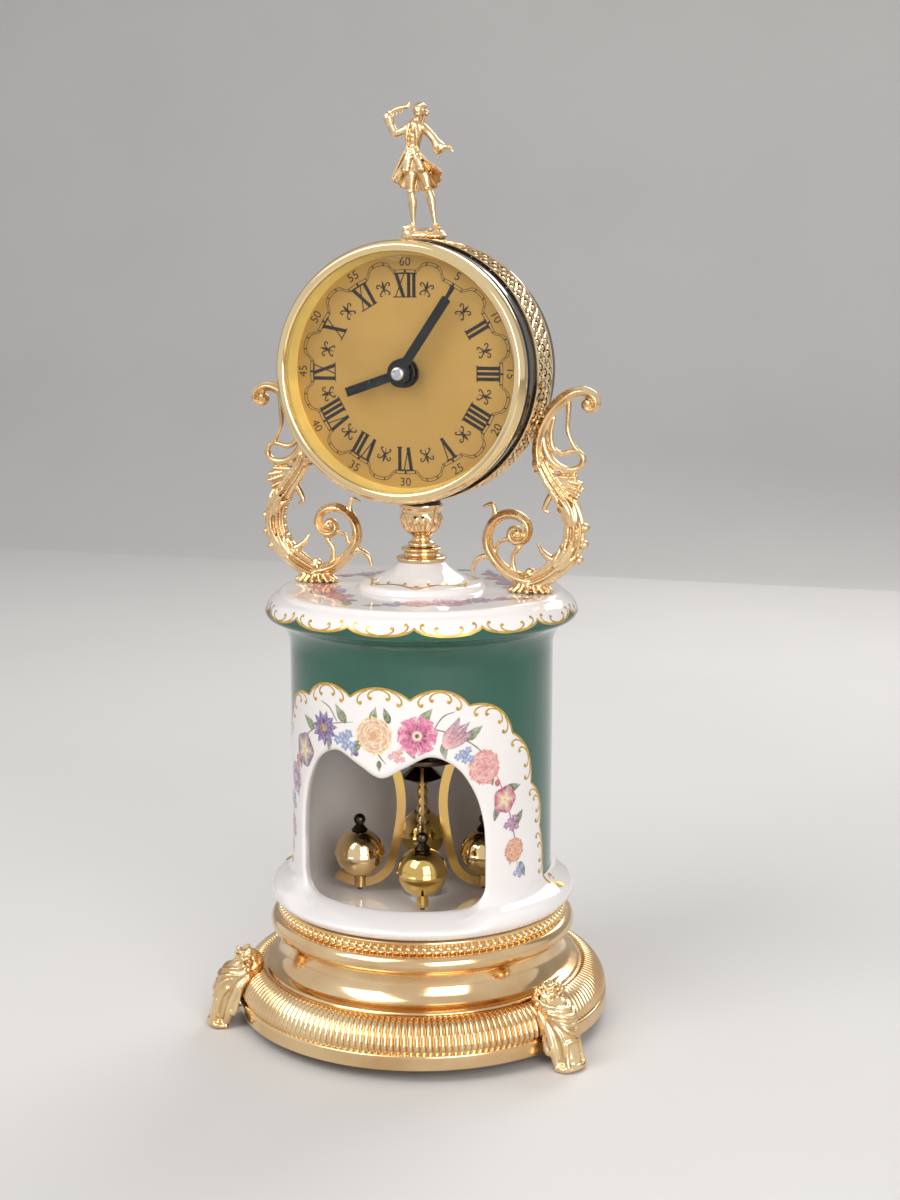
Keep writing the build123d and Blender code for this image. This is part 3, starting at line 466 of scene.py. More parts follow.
def add(tree, kind, inputs=None, **settings):
    """Node of a kind with its settings, and inputs that are values or other nodes' sockets."""
    node = tree.nodes.new("ShaderNode" + kind)
    for key, value in settings.items():
        setattr(node, key, value)
    fill(tree, node, inputs or {})
    return node.outputs


def fill(tree, node, inputs):
    """A node's inputs set to values or linked from sockets."""
    for key, value in inputs.items():
        if isinstance(value, bpy.types.NodeSocket):
            tree.links.new(value, node.inputs[key])
        else:
            node.inputs[key].default_value = value


def mixed(tree, share, first, second):
    """Colour between two colours."""
    return add(tree, "Mix", {0: share, 6: first, 7: second}, data_type="RGBA")[2]


def worked(tree, operation, *values):
    """Result of a Math node."""
    return add(tree, "Math", dict(enumerate(values)), operation=operation)[0]


def ranged(tree, value, low, high, to_low=0.0, to_high=1.0):
    """Value carried smoothly from one range to another."""
    inputs = {"Value": value, "From Min": low, "From Max": high, "To Min": to_low, "To Max": to_high}
    return add(tree, "MapRange", inputs, interpolation_type="SMOOTHSTEP")["Result"]


def noise(tree, scale, detail, stretch=None, roughness=0.5):
    """Noise over the piece's own coordinates, stretched where wanted."""
    place = add(tree, "TexCoord")["Object"]
    if stretch:
        place = add(tree, "Mapping", {"Vector": place, "Scale": stretch})[0]
    inputs = {"Vector": place, "Scale": scale, "Detail": detail, "Roughness": roughness}
    return add(tree, "TexNoise", inputs)["Fac"]


def bumped(tree, height, strength, distance):
    """Normal from a height over a distance in metres."""
    return add(tree, "Bump", {"Height": height, "Strength": strength, "Distance": distance})["Normal"]


def new_group(name, inputs, outputs):
    """Shader node group with named sockets: the group, what it is given, and its output node."""
    group = bpy.data.node_groups.new(name, "ShaderNodeTree")
    for way, sockets in (("INPUT", inputs), ("OUTPUT", outputs)):
        for label, kind in sockets.items():
            group.interface.new_socket(label, in_out=way, socket_type="NodeSocket" + kind)
    return group, group.nodes.new("NodeGroupInput").outputs, group.nodes.new("NodeGroupOutput")


def clouding_group():
    """Soft clouds between two tones, as in glaze and old gilding."""
    group, given, out = new_group(
        "Clouding", {"Tone": "Color", "Shade": "Color", "Scale": "Float"}, {"Colour": "Color"}
    )
    cloud = ranged(group, noise(group, given["Scale"], 4.0), 0.35, 0.72)
    fill(group, out, {"Colour": mixed(group, cloud, given["Tone"], given["Shade"])})


def handling_group():
    """Smudges that dull a polish, and fine polishing lines for a bump."""
    group, given, out = new_group(
        "Handling", {"Polish": "Float", "Smudge": "Float"}, {"Roughness": "Float", "Height": "Float"}
    )
    dull = ranged(group, noise(group, 55.0, 6.0, roughness=0.65), 0.4, 0.75)
    rough = worked(group, "MULTIPLY_ADD", dull, given["Smudge"], given["Polish"])
    fill(group, out, {"Roughness": rough, "Height": noise(group, 1.0, 2.0, (900.0, 900.0, 5200.0))})


def recess_group():
    """Dark patina and painted shade where a casting is hollow, bright metal on its high spots."""
    group, given, out = new_group(
        "Recess", {"Metal": "Color", "Patina": "Color"}, {"Colour": "Color", "Mask": "Float"}
    )
    hollow = add(group, "Attribute", attribute_name="hollow")["Fac"]
    # The mask darkens the hollows as patina and also as painted shade, in place of ambient occlusion
    mask = ranged(group, worked(group, "MULTIPLY_ADD", noise(group, 420.0, 3.0), 0.06, hollow), 0.06, 0.24)
    fill(group, out, {"Colour": mixed(group, mask, given["Metal"], given["Patina"]), "Mask": mask})


# Finishes


def opaque(values, factor=1.0, lift=0.0):
    """Colour with full alpha, its values scaled and lifted."""
    return (*(value * factor + lift for value in values), 1.0)


def grouped(tree, group, **inputs):
    """Outputs of a shared group placed in a material with its own values."""
    return add(tree, "Group", inputs, node_tree=bpy.data.node_groups[group])


def clouded(tree, tone, scale, shade):
    """Clouded colour between a tone and an opaque shade."""
    return grouped(tree, "Clouding", Tone=opaque(tone), Shade=shade, Scale=scale)["Colour"]


def handled(tree, polish, smudge):
    """Roughness and fine lines of a handled surface."""
    worn = grouped(tree, "Handling", Polish=polish, Smudge=smudge)
    return worn["Roughness"], worn["Height"]


def new_finish(name):
    """Material with one Principled shader, and its node tree."""
    material = bpy.data.materials.new(name)
    material.use_nodes = True
    return material, material.node_tree


def finished(material, **inputs):
    """The material with its shader's sockets set or linked."""
    tree = material.node_tree
    fill(tree, tree.nodes["Principled BSDF"], {key.replace("_", " "): value for key, value in inputs.items()})
    return material


def polished(name, tone, shade, polish=0.12, smudge=0.12):
    """Polished metal with clouded tone, smudges and fine polishing lines."""
    material, tree = new_finish(name)
    rough, lines = handled(tree, polish, smudge)
    return finished(material, Metallic=1.0, Base_Color=clouded(tree, tone, 28.0, opaque(shade)),
                    Roughness=rough, Normal=bumped(tree, lines, 0.06, 0.00004))


def cast_gilt(name, tone, shade, patina):
    """Cast and gilt metal: grainy, with patina and painted shade darkening its hollows."""
    material, tree = new_finish(name)
    metal = clouded(tree, tone, 60.0, opaque(shade))
    recess = grouped(tree, "Recess", Metal=metal, Patina=opaque(patina))
    rough = worked(tree, "MULTIPLY_ADD", recess["Mask"], 0.2, handled(tree, 0.2, 0.18)[0])
    return finished(material, Metallic=1.0, Base_Color=recess["Colour"], Roughness=rough,
                    Normal=bumped(tree, noise(tree, 1300.0, 3.0), 0.25, 0.00008))


def glaze(name, white, green):
    """Porcelain glaze: white or green by the piece's own field, with soft ripples."""
    material, tree = new_finish(name)
    ground = ranged(tree, add(tree, "Attribute", attribute_name="green")["Fac"], -0.12, 0.12)
    pale = clouded(tree, white, 22.0, opaque(white, 0.965))
    deep = clouded(tree, green, 34.0, opaque(green, 0.72))
    ripple = bumped(tree, noise(tree, 42.0, 2.0), 0.12, 0.0004)
    return finished(material, Base_Color=mixed(tree, ground, pale, deep), Coat_Weight=0.5,
                    Coat_Roughness=0.03, Roughness=handled(tree, 0.07, 0.06)[0], Normal=ripple)


def painted(name):
    """Enamel paint in the colours that its strokes carry, with an uneven coat."""
    material, tree = new_finish(name)
    strokes = add(tree, "Attribute", attribute_name="paint")["Color"]
    wash = ranged(tree, noise(tree, 900.0, 3.0), 0.3, 0.8, 0.0, 0.32)
    return finished(material, Coat_Weight=0.4, Coat_Roughness=0.05, Roughness=handled(tree, 0.1, 0.1)[0],
                    Base_Color=mixed(tree, wash, strokes, (0.95, 0.92, 0.9, 1.0)))


def gold_paint(name, gold):
    """Burnished gold paint, thinner where the brush lifted."""
    material, tree = new_finish(name)
    return finished(material, Metallic=0.45, Base_Color=clouded(tree, gold, 260.0, opaque(gold, 0.7)),
                    Roughness=handled(tree, 0.22, 0.2)[0])


def lacquer(name, tone, polish, smudge):
    """Lacquered or moulded surface in one deep tone, with faint clouds and ripple."""
    material, tree = new_finish(name)
    cloud = clouded(tree, tone, 90.0, opaque(tone, 1.7, 0.002))
    return finished(material, Base_Color=cloud, Roughness=handled(tree, polish, smudge)[0],
                    Normal=bumped(tree, noise(tree, 620.0, 2.0), 0.2, 0.00006))


def satin_dial(name, tone, metal=0.75):
    """Satin gold plate: fine grain along the plate and broad soft clouds."""
    material, tree = new_finish(name)
    grain = noise(tree, 1.0, 3.0, (260.0, 260.0, 3800.0))
    cloud = clouded(tree, tone, 36.0, opaque(tone, 0.86))
    rough = ranged(tree, grain, 0.2, 0.8, 0.36, 0.5)
    return finished(material, Metallic=metal, Base_Color=cloud, Roughness=rough,
                    Normal=bumped(tree, grain, 0.15, 0.00003))


def clear_glass(name):
    """Clear glass with faint smudges, which lets light through to what lies behind."""
    material, tree = new_finish(name)
    finished(material, Transmission_Weight=1.0, IOR=1.15, Base_Color=(0.985, 0.99, 0.99, 1.0),
             Roughness=handled(tree, 0.005, 0.02)[0])
    path = add(tree, "LightPath")
    through = worked(tree, "MAXIMUM", path["Is Shadow Ray"], path["Is Diffuse Ray"])
    shader = tree.nodes["Principled BSDF"].outputs[0]
    both = add(tree, "MixShader", {0: through, 1: shader, 2: add(tree, "BsdfTransparent")[0]})[0]
    fill(tree, tree.nodes["Material Output"], {"Surface": both})
    return material


def cell_wrap(name):
    """Plain foil wrap with a paler band near one end of the cell, which lies along X."""
    material, tree = new_finish(name)
    along = add(tree, "SeparateXYZ", {0: add(tree, "TexCoord")["Object"]})["X"]
    wrap = clouded(tree, (0.05, 0.06, 0.08), 120.0, (0.08, 0.09, 0.11, 1.0))
    return finished(material, Metallic=0.4, Roughness=handled(tree, 0.25, 0.2)[0],
                    Base_Color=mixed(tree, ranged(tree, along, 0.0125, 0.0130), wrap, (0.55, 0.42, 0.2, 1.0)))


def studio_floor(name, tone):
    """Pale floor with a barely uneven tone."""
    material, tree = new_finish(name)
    return finished(material, Base_Color=clouded(tree, tone, 3.0, opaque(tone, 0.96)), Roughness=0.9)


FINISHES = {}


# Gilt base


def fluted_band(sizes):
    """Closed band turned about Z. On its curved part each rib stands out by depth sqrt(1 - (d / w)^2),
    with d the distance to the rib's middle line, so that a rib ends round."""
    per_flute, reach, sheet_metal = 8, 9.3, 1.6
    low, top = RIM_LOW + 6.1, FLUTE_TOP - 0.4
    inside = RIM_RADIUS - 1.1 - reach
    rim = outline((RIM_RADIUS - sheet_metal, RIM_LOW), (RIM_RADIUS - 0.6, RIM_LOW),
                  ((RIM_RADIUS, RIM_LOW + 0.6), -0.17), (RIM_RADIUS, RIM_LOW + 5.2),
                  ((RIM_RADIUS - 0.7, RIM_LOW + 5.9), -0.17))[::6]
    swing = np.linspace(0, pi / 2, 29)
    ground = np.stack([inside + reach * np.cos(swing), low + (top - low) * np.sin(swing)], -1)
    under = FLUTE_TOP - sheet_metal
    inner = outline((inside - 1, FLUTE_TOP), (inside - 7, FLUTE_TOP), (inside - 7, under),
                    (inside - 0.6, under), ((RIM_RADIUS - 2.6, low), -2.4))[::6]
    grid = lathe(np.vstack([rim, ground, inner]), per_flute * sizes.flutes)
    run = run_along(ground)[:, None]
    share = (np.arange(per_flute * sizes.flutes) % per_flute) / per_flute - 0.5
    pitch = 2 * pi * ground[:, :1] / sizes.flutes
    past_end = np.maximum(0, np.maximum(1.6 - run, run - run[-1] + 1.4))
    off = np.hypot(past_end, share * pitch) / (0.46 * pitch)
    rib = sizes.flute_depth / MM * np.sqrt(np.maximum(0, 1 - off**2))
    tangent = heading_of(ground)
    middle = slice(len(rim), len(rim) + len(ground))
    around = unit(grid[middle] * LEVEL)
    grid[middle] += rib[..., None] * around * tangent[:, None, 1:2]
    grid[middle, :, 2] -= rib * tangent[:, None, 0]
    return skin(grid, rows=True)


def spun_plinth():
    """Closed profile turned about Z: shoulder, polished cove, torus and the flange under the porcelain."""
    bore, flange = 48.2, 0.9
    cove_low = FLUTE_TOP + 1.7
    torus_low = PLINTH_TOP - 7.6
    profile = outline(
        (bore, PLINTH_TOP), (bore, PLINTH_TOP - flange), (54.2, PLINTH_TOP - flange), (54.2, torus_low),
        ((58.2, FLUTE_TOP + 0.8), -2.2), (58.2, FLUTE_TOP), (63.8, FLUTE_TOP), (63.8, FLUTE_TOP + 0.9),
        (61.0, cove_low), (60.2, cove_low), ((55.9, torus_low), 2.5), (56.6, torus_low + 0.3),
        (57.6, torus_low + 0.3), ((57.9, PLINTH_TOP), -3.6),
    )
    return turned(profile, 0.55, 224)


def bead_ring(sizes):
    """Plain ring about Z with a row of ellipsoid beads against its outer wall."""
    wall, outer = 55.3, 57.0
    low, top = PLINTH_TOP, GALLERY_TOP
    ring = outline(
        (wall, low), (outer + 1.3, low), ((outer, low + 0.5), 0.1), (outer, low + 3.2),
        ((outer + 0.5, low + 3.6), 0.1), (outer + 0.5, top - 0.4), ((outer, top), -0.1), (wall, top))
    points, quads = blob((outer + 0.15, 0, low + 1.85), (1.38, 1.42, 1.42), 12, 8)
    beads = [(np.column_stack([turned_flat(points, -360 * number / sizes.beads), points[:, 2]]), quads)
             for number in range(sizes.beads)]
    return joined([turned(ring, 0.5, 200), *beads])


def cast_foot():
    """Mask foot on +X from rods and ellipsoids, with x from the band's rim: head with curled mane over a
    draped leg, whose folds lie at c(u) + r(u) (n cos a + wide y sin a), and a framed toe that flares out."""
    wide = 1.22
    leg = [(-5, 0, 24, 5), (2, 0, 20, 5.2), (5.4, 0, 14.5, 4.4), (6.8, 0, 8, 4), (8, 0, 4.2, 3.9)]
    line = flowing(leg, 80)
    heading = heading_of(line[:, :3])
    ahead = np.stack([-heading[:, 2], heading[:, 1], heading[:, 0]], -1)

    def draped(spots, radius):
        share, angle = np.array(spots, float).T
        at = np.rint(share * 79).astype(int)
        angle = np.radians(angle)[:, None]
        around = np.cos(angle) * ahead[at] + wide * np.sin(angle) * [0, 1, 0]
        fold = line[at, :3] + line[at, 3:] * around
        return limb(np.column_stack([fold, np.broadcast_to(radius, len(at))]), 8)

    parts = [
        limb(leg, 16, flat=wide),
        blob((8.4, 0, 2.2), (4.2, 6, 2.2)),
        limb([(6.4, -6.2, 1.2, 1), (10.6, -5, 1.5, 1.2), (12.2, 0, 1.9, 1.3), (10.6, 5, 1.5, 1.2),
              (6.4, 6.2, 1.2, 1)], across=(0, 0, 1)),
        limb([(9.4, -3.3, 11.2, 0.7), (10.3, 0, 11.9, 0.8), (9.4, 3.3, 11.2, 0.7)], 8, across=(0, 0, 1)),
        blob((-4.4, 0, 25.2), (5.4, 5.2, 5.4)),
        blob((0.9, 0, 22.6), (3, 2.7, 2.2)),
        blob((3, 0, 23.7), (1.2, 1.7, 0.9)),
        blob((1.2, 0, 19.6), (2, 2, 1.2)),
        limb([(-1.4, 0, 28.6, 0.9), (0.9, 0, 26.6, 0.8), (2.6, 0, 24.4, 1)]),
    ]
    for sign in (-1, 1):
        for sides, points in (
                (10, [(1.2, 0.7, 27.6, 0.6), (0.8, 2.5, 28.2, 0.85), (-1.2, 4.2, 27, 0.6)]),
                (6, [(3.2, 0.3, 21.2, 0.45), (2, 2.2, 20.8, 0.4)]),
                (8, [(9.4, 3.4, 11, 0.75), (10.2, 3.9, 6.4, 0.8), (11.4, 4.4, 2.4, 0.9)]),
                (6, [(9.6, 0.9, 9.6, 0.45), (10.6, 1.1, 6, 0.55), (11.8, 1.4, 2.8, 0.5)]),
                (10, [(-2.6, 5.4, 20.5, 1.5), (1.4, 5.6, 15.5, 2.2), (3.8, 5.4, 9.6, 2.3), (5.4, 5.2, 5, 1.9),
                      (6.6, 5.6, 2, 1.2)]),
                (10, [(0.2, 7, 16, 0.7), (1.8, 7.4, 11, 0.9), (3, 7.3, 7.4, 1.4), (4.6, 7, 7, 1),
                      (4.8, 6.9, 9.4, 0.7)])):
            parts.append(limb([(x, sign * y, z, r) for x, y, z, r in points], sides))
        for x, y, z, radii in ((0.9, 2.1, 26, (0.7, 0.85, 0.6)), (0.6, 3.1, 23.6, (1.6, 1.5, 1.5)),
                               (2.6, 1.2, 22, (1.3, 1.2, 0.9))):
            parts.append(blob((x, sign * y, z), radii))
        seam = ((0.5, 78), (0.62, 66), (0.76, 58), (0.94, 60))
        parts.append(draped([(share, sign * turn) for share, turn in seam], 0.85))
    hang = ((-0.15, -1), (-0.06, -0.62), (-0.01, -0.2), (0, 0.2), (-0.07, 0.62), (-0.17, 1))
    for share, spread, radius in ((0.34, 64, 0.8), (0.43, 76, 1.05), (0.53, 70, 0.75), (0.62, 56, 1)):
        spots = [(share + rise, spread * side) for rise, side in hang]
        parts.append(draped(spots, radius * np.array([0.5, 0.9, 1, 1, 0.9, 0.5])))
    curl = np.linspace(0, 1.7 * pi, 14)
    for row, (count, spread, back, radius) in enumerate(((9, 122, 0.6, 1.5), (8, 108, 3.6, 1.7))):
        for turn in np.linspace(-spread, spread, count):
            y = (5.7 + 0.5 * row) * sin(radians(turn)) + 1.35 * np.sin(curl + turn) * (1 - curl / 8)
            z = 25.4 + (5 + 0.15 * row) * cos(radians(turn)) + 0.9 * np.cos(curl + turn) * (1 - curl / 8)
            hook = np.stack([0.9 * np.cos(curl) * (1 - curl / 9) - back, y, z], -1)
            parts.append(rod(hook, radius * (0.56 - 0.03 * curl), 8))
    return [(points + [RIM_RADIUS, 0, 0], quads) for points, quads in parts]


# Porcelain casting: its outer line from the seat up to the stem

SEAT_RADIUS, FLANGE_RADIUS, DRUM_RADIUS, CHAMBER_RADIUS = 55.0, 61.2, 52.0, 47.5
FLANGE_LEVEL = PLINTH_TOP + 9.7
RIM_LEVEL = PLATEAU - 8.8
DRUM_TOP = RIM_LEVEL - 12.5
CHAMBER_TOP = PLATEAU - 6.0
STEM_BORE = 3.2

GLAZE_LINE = even(outline(
    (SEAT_RADIUS, PLINTH_TOP), (SEAT_RADIUS, PLINTH_TOP + 5.2), ((FLANGE_RADIUS, FLANGE_LEVEL), -1.3),
    ((56.6, FLANGE_LEVEL + 4.95), -1.3), ((DRUM_RADIUS, FLANGE_LEVEL + 10.0), 0.9), (DRUM_RADIUS, DRUM_TOP),
    ((TOP_RADIUS - 1.0, RIM_LEVEL - 1.6), 2.2), ((TOP_RADIUS - 0.4, RIM_LEVEL + 1.6), -0.7),
    ((56.2, PLATEAU - 1.6), -1.0), ((54.4, PLATEAU), -0.6), (25.2, PLATEAU), ((24.0, PLATEAU + 2.6), -0.5),
    ((9.0, BOSS_TOP), 1.6), (STEM_BORE, BOSS_TOP)), 0.4, 1.2)
GLAZE_RUN = run_along(GLAZE_LINE)
GLAZE_NORMAL = right_of(GLAZE_LINE)


def run_at_height(height):
    """Run along the glaze line at a height on the wall or the rim."""
    climb = np.maximum.accumulate(GLAZE_LINE[:, 1]) + np.arange(len(GLAZE_LINE)) * 1e-9
    return np.interp(height, climb, GLAZE_RUN)


def run_at_reach(reach):
    """Run along the glaze line at a radius on the flat top or the boss."""
    top = int(np.argmax(GLAZE_LINE[:, 1] >= PLATEAU - 0.05))
    return np.interp(-np.asarray(reach, float), -GLAZE_LINE[top:, 0], GLAZE_RUN[top:])


def wall_reach(height):
    """Radius of the glaze line at a height on the wall."""
    return np.interp(run_at_height(height), GLAZE_RUN, GLAZE_LINE[:, 0])


def glaze_at(azimuth, run, lift):
    """Point over the glaze at an azimuth in degrees from the front and a run along its line."""
    radius, height = (np.interp(run, GLAZE_RUN, column) for column in (GLAZE_LINE + lift * GLAZE_NORMAL).T)
    return about_z(radius, np.radians(azimuth), height)


# White panel round the window: cusps as azimuth and height from its middle, and each lobe's rise
PANEL_CUSPS = [(13.1, 140.3), (37.8, 137.8), (59.1, 124.9), (71.4, 103.1), (79.5, 84.0), (83.5, 63.0)]
PANEL_RISES = [4.9, 4.8, 4.0, 3.6, 1.4]
PANEL_CROWN = 4.3
ARC_PER_DEGREE = DRUM_RADIUS * pi / 180
RIM_CUSP_AZIMUTH = 15.4
RIM_LOBE_LOW, RIM_LOBE_RISE = RIM_LEVEL + 0.6, 3.3


def panel_lobes():
    """Lobes of the panel's border from left to right, each a line of unrolled arc length and height."""
    right = [(azimuth * ARC_PER_DEGREE, height) for azimuth, height in PANEL_CUSPS]
    cusps = [(-x, z) for x, z in right[::-1]] + right
    rises = PANEL_RISES[::-1] + [PANEL_CROWN] + PANEL_RISES
    return [outline(a, (b, rise)) for a, b, rise in zip(cusps, cusps[1:], rises)]


def rim_border(azimuth, lobes):
    """Height of the white rim's lower edge: round lobes that hang between cusps."""
    share = ((azimuth - RIM_CUSP_AZIMUTH) * lobes / 360) % 1
    return RIM_LOBE_LOW + RIM_LOBE_RISE * (1 - np.sqrt(np.maximum(0, 1 - (2 * share - 1) ** 2)))


def green_field(azimuth, height, lobes):
    """Millimetres inside the green ground: above zero it is green, below it is white."""
    border = np.vstack(panel_lobes())
    azimuth = (azimuth + 180) % 360 - 180
    x, z = azimuth * ARC_PER_DEGREE, height
    ends = np.vstack([border, [border[-1, 0], 0.0], [border[0, 0], 0.0], border[:1]])
    inside = np.zeros(x.shape, bool)
    nearest = np.full(x.shape, 1e9)
    for (ax, az), (bx, bz) in zip(ends, ends[1:]):
        wide, tall = bx - ax, bz - az
        if tall:
            inside ^= ((az > z) != (bz > z)) & (x < ax + (z - az) * wide / tall)
        along = np.clip(((x - ax) * wide + (z - az) * tall) / (wide**2 + tall**2 + 1e-12), 0, 1)
        nearest = np.minimum(nearest, np.hypot(x - ax - along * wide, z - az - along * tall))
    panel = np.where(inside, -nearest, nearest)
    rim = rim_border(azimuth, lobes) - height
    return np.minimum(np.minimum(panel, rim), height - FLANGE_LEVEL - 9.4)


# Window in the front of the drum: its outline seen from the front, right half from the top
WINDOW_SILL, WINDOW_CENTRE = 57.6, 82.0
WINDOW_TOP = [(0, 109.6), (9, 113.9), (18.6, 118.3), (27.5, 113.6), (33.2, 103.2), (35.8, 92.0), (36.5, 82.0)]
WINDOW_HALF, WINDOW_CORNER = 36.5, 9.0
SHEET_AZIMUTH = 60.0
SHEET_LOW_OUT, SHEET_LOW_IN, SHEET_TOP = 50.2, 52.0, 124.0
FLARE_EASE = 6.5
WHITE = -9.0


def window_outline():
    """Closed outline of the window, anticlockwise from the dip at its top."""
    upper = flowing([(-x, z) for x, z in WINDOW_TOP[2:0:-1]] + WINDOW_TOP, 160)
    right = upper[upper[:, 0] >= -1e-9]
    corner = outline((WINDOW_HALF, WINDOW_SILL + WINDOW_CORNER),
                     ((WINDOW_HALF - WINDOW_CORNER, WINDOW_SILL), WINDOW_CORNER * (1 - sqrt(0.5))))
    half = np.vstack([right, corner, [[0, WINDOW_SILL]]])
    return np.vstack([half, (half * [-1, 1])[-2:0:-1]])


def sheet_border(low, columns, rows):
    """Azimuth and height of the points round a rectangular sheet of the wall, in order."""
    across = np.linspace(-SHEET_AZIMUTH, SHEET_AZIMUTH, columns + 1)
    up = np.linspace(low, SHEET_TOP, rows + 1)
    sides = [
        (across[:-1], np.full(columns, low)), (np.full(rows, SHEET_AZIMUTH), up[:-1]),
        (across[:0:-1], np.full(columns, SHEET_TOP)), (np.full(rows, -SHEET_AZIMUTH), up[:0:-1]),
    ]
    return np.hstack([np.stack(side) for side in sides])


def porcelain_body(sizes):
    """One closed casting: the wall profile turned about Z, with a sheet of the front wall replaced by
    rings that close in on the window, roll over its lip and spread again on the inner wall."""
    sides, rows = 288, 64
    columns = int(round(2 * SHEET_AZIMUTH / 360 * sides))
    up = np.linspace(SHEET_LOW_OUT, SHEET_TOP, rows + 1)
    wall = np.stack([wall_reach(up), up], -1)
    inner = np.linspace((CHAMBER_RADIUS, SHEET_TOP), (CHAMBER_RADIUS, SHEET_LOW_IN), rows + 1)
    foot = even(GLAZE_LINE[GLAZE_RUN < run_at_height(SHEET_LOW_OUT) - 0.3], 0.8)
    crown = even(GLAZE_LINE[GLAZE_RUN > run_at_height(SHEET_TOP) + 0.3], 0.85)
    ceiling = even(outline(
        (STEM_BORE, BOSS_TOP - 0.5), (STEM_BORE, CHAMBER_TOP), (CHAMBER_RADIUS - 3, CHAMBER_TOP),
        ((CHAMBER_RADIUS, CHAMBER_TOP - 3), 1.2), (CHAMBER_RADIUS, SHEET_TOP + 2)), 4.5)
    floor = even(outline(
        (CHAMBER_RADIUS, SHEET_LOW_IN - 0.6), ((CHAMBER_RADIUS - 2.4, FLOOR_TOP), 0.75),
        (STEM_BORE, FLOOR_TOP), (STEM_BORE, PLINTH_TOP), (SEAT_RADIUS - 1, PLINTH_TOP)), 2.4)
    profile = np.vstack([foot, wall, crown, ceiling, inner, floor])
    grid = lathe(profile, sides)
    points, quads = skin(grid, rows=True)
    azimuth = (np.linspace(0, 360, sides, endpoint=False) + 180) % 360 - 180
    outside = len(foot) + len(wall) + len(crown)
    green = np.full(grid.shape[:2], WHITE)
    green[:outside] = green_field(*np.meshgrid(azimuth, profile[:outside, 1]), sizes.rim_lobes)
    row, column = np.indices(grid.shape[:2]).reshape(2, -1)
    column = (column - np.abs(azimuth + SHEET_AZIMUTH).argmin()) % sides
    cut = np.zeros(len(quads), bool)
    for first in (len(foot), outside + len(ceiling)):
        cut |= (row >= first) & (row < first + rows) & (column < columns)
    rings, ring_green = window_rings(sizes.window_lip / MM, columns, rows, sizes.rim_lobes)
    return joined([(points, quads[~cut]), skin(rings)]), np.r_[green.ravel(), ring_green.ravel()]


def window_rings(lip, columns, rows, lobes):
    """Rings from the outer sheet's border to the window's lip, through the wall and out to the inner
    border. A ring point shares its polar angle about the window's centre with its border point. Over the
    last millimetres d to the window's edge the flange's flare f dies away, as f sin(pi d / 2e)."""
    shape = window_outline()
    shape = stepped(np.vstack([shape, shape[:1]]), 900)[:-1] - [0, WINDOW_CENTRE]
    outer = sheet_border(SHEET_LOW_OUT, columns, rows)
    inner = sheet_border(SHEET_LOW_IN, columns, rows)
    bearing = np.arctan2(outer[1] - WINDOW_CENTRE, outer[0] * ARC_PER_DEGREE)
    reach = np.interp(bearing, np.arctan2(shape[:, 1], shape[:, 0]), np.hypot(*shape.T), period=2 * pi)
    edge = np.stack([reach * np.cos(bearing), reach * np.sin(bearing) + WINDOW_CENTRE], -1)
    along = unit(np.roll(edge, -1, 0) - np.roll(edge, 1, 0))
    away = along[:, ::-1] * [1, -1]
    unrolled = np.stack([DRUM_RADIUS * np.arcsin(edge[:, 0] / DRUM_RADIUS), edge[:, 1]], -1)

    def wall_radius(z, off):
        flare = wall_reach(z) - DRUM_RADIUS
        return DRUM_RADIUS + flare * np.sin(pi / 2 * np.clip(off / FLARE_EASE, 0, 1))

    def ring_through(spot, radius, back):
        return np.stack([spot[:, 0], back - np.sqrt(radius**2 - spot[:, 0] ** 2), spot[:, 1]], -1)

    rings, green = [], []
    start = edge + away * lip
    start_azimuth = np.degrees(np.arcsin(np.clip(start[:, 0] / wall_radius(start[:, 1], lip), -1, 1)))
    for share in 1 - np.linspace(0, 1, 18) ** 0.8:
        azimuth = start_azimuth + (outer[0] - start_azimuth) * share
        height = start[:, 1] + (outer[1] - start[:, 1]) * share
        flat = np.stack([azimuth * ARC_PER_DEGREE, height], -1)
        off = np.linalg.norm(flat[:, None] - unrolled[None], axis=-1).min(1)
        radius = wall_radius(height, off + np.maximum(FLARE_EASE - off, 0) * share**2)
        rings.append(about_z(radius, np.radians(azimuth), height))
        green.append(green_field(azimuth, height, lobes))
    for roll in np.linspace(0, pi / 2, 9)[1:]:
        off = lip * (1 - sin(roll))
        spot = edge + away * off
        rings.append(ring_through(spot, wall_radius(spot[:, 1], off), lip * (1 - cos(roll))))
    inner_lip = lip * 0.55
    front, back = rings[-1], ring_through(edge, CHAMBER_RADIUS, -inner_lip)
    rings += [front + (back - front) * share for share in (0.35, 0.7, 1.0)]
    for roll in np.linspace(pi / 2, 0, 5)[1:]:
        spot = edge + away * inner_lip * (1 - sin(roll))
        rings.append(ring_through(spot, CHAMBER_RADIUS, -inner_lip * (1 - cos(roll))))
    end_azimuth = np.degrees(np.arcsin(rings[-1][:, 0] / CHAMBER_RADIUS))
    end_height = rings[-1][:, 2]
    for share in np.linspace(0, 1, 7)[1:]:
        turn = np.radians(end_azimuth + (inner[0] - end_azimuth) * share)
        rings.append(about_z(CHAMBER_RADIUS, turn, end_height + (inner[1] - end_height) * share))
    green += [np.full(len(edge), WHITE)] * (len(rings) - len(green))
    return np.stack(rings), np.stack(green)


def on_wall(x, z, rise):
    """Point over the drum's wall at an unrolled arc length from the front and a height."""
    return glaze_at(x / ARC_PER_DEGREE, run_at_height(z), rise)


# Painted gold lines and flowers on the glaze


def ribbon(line, width):
    """Flat ribbon on a line of (x, y): edges at half the width to each side, a width for the whole line or
    one for each point.
    """
    line = np.asarray(line, float)
    aside = right_of(line) * (np.broadcast_to(width, len(line)) / 2)[:, None]
    return np.stack([line + aside, line - aside], 1)


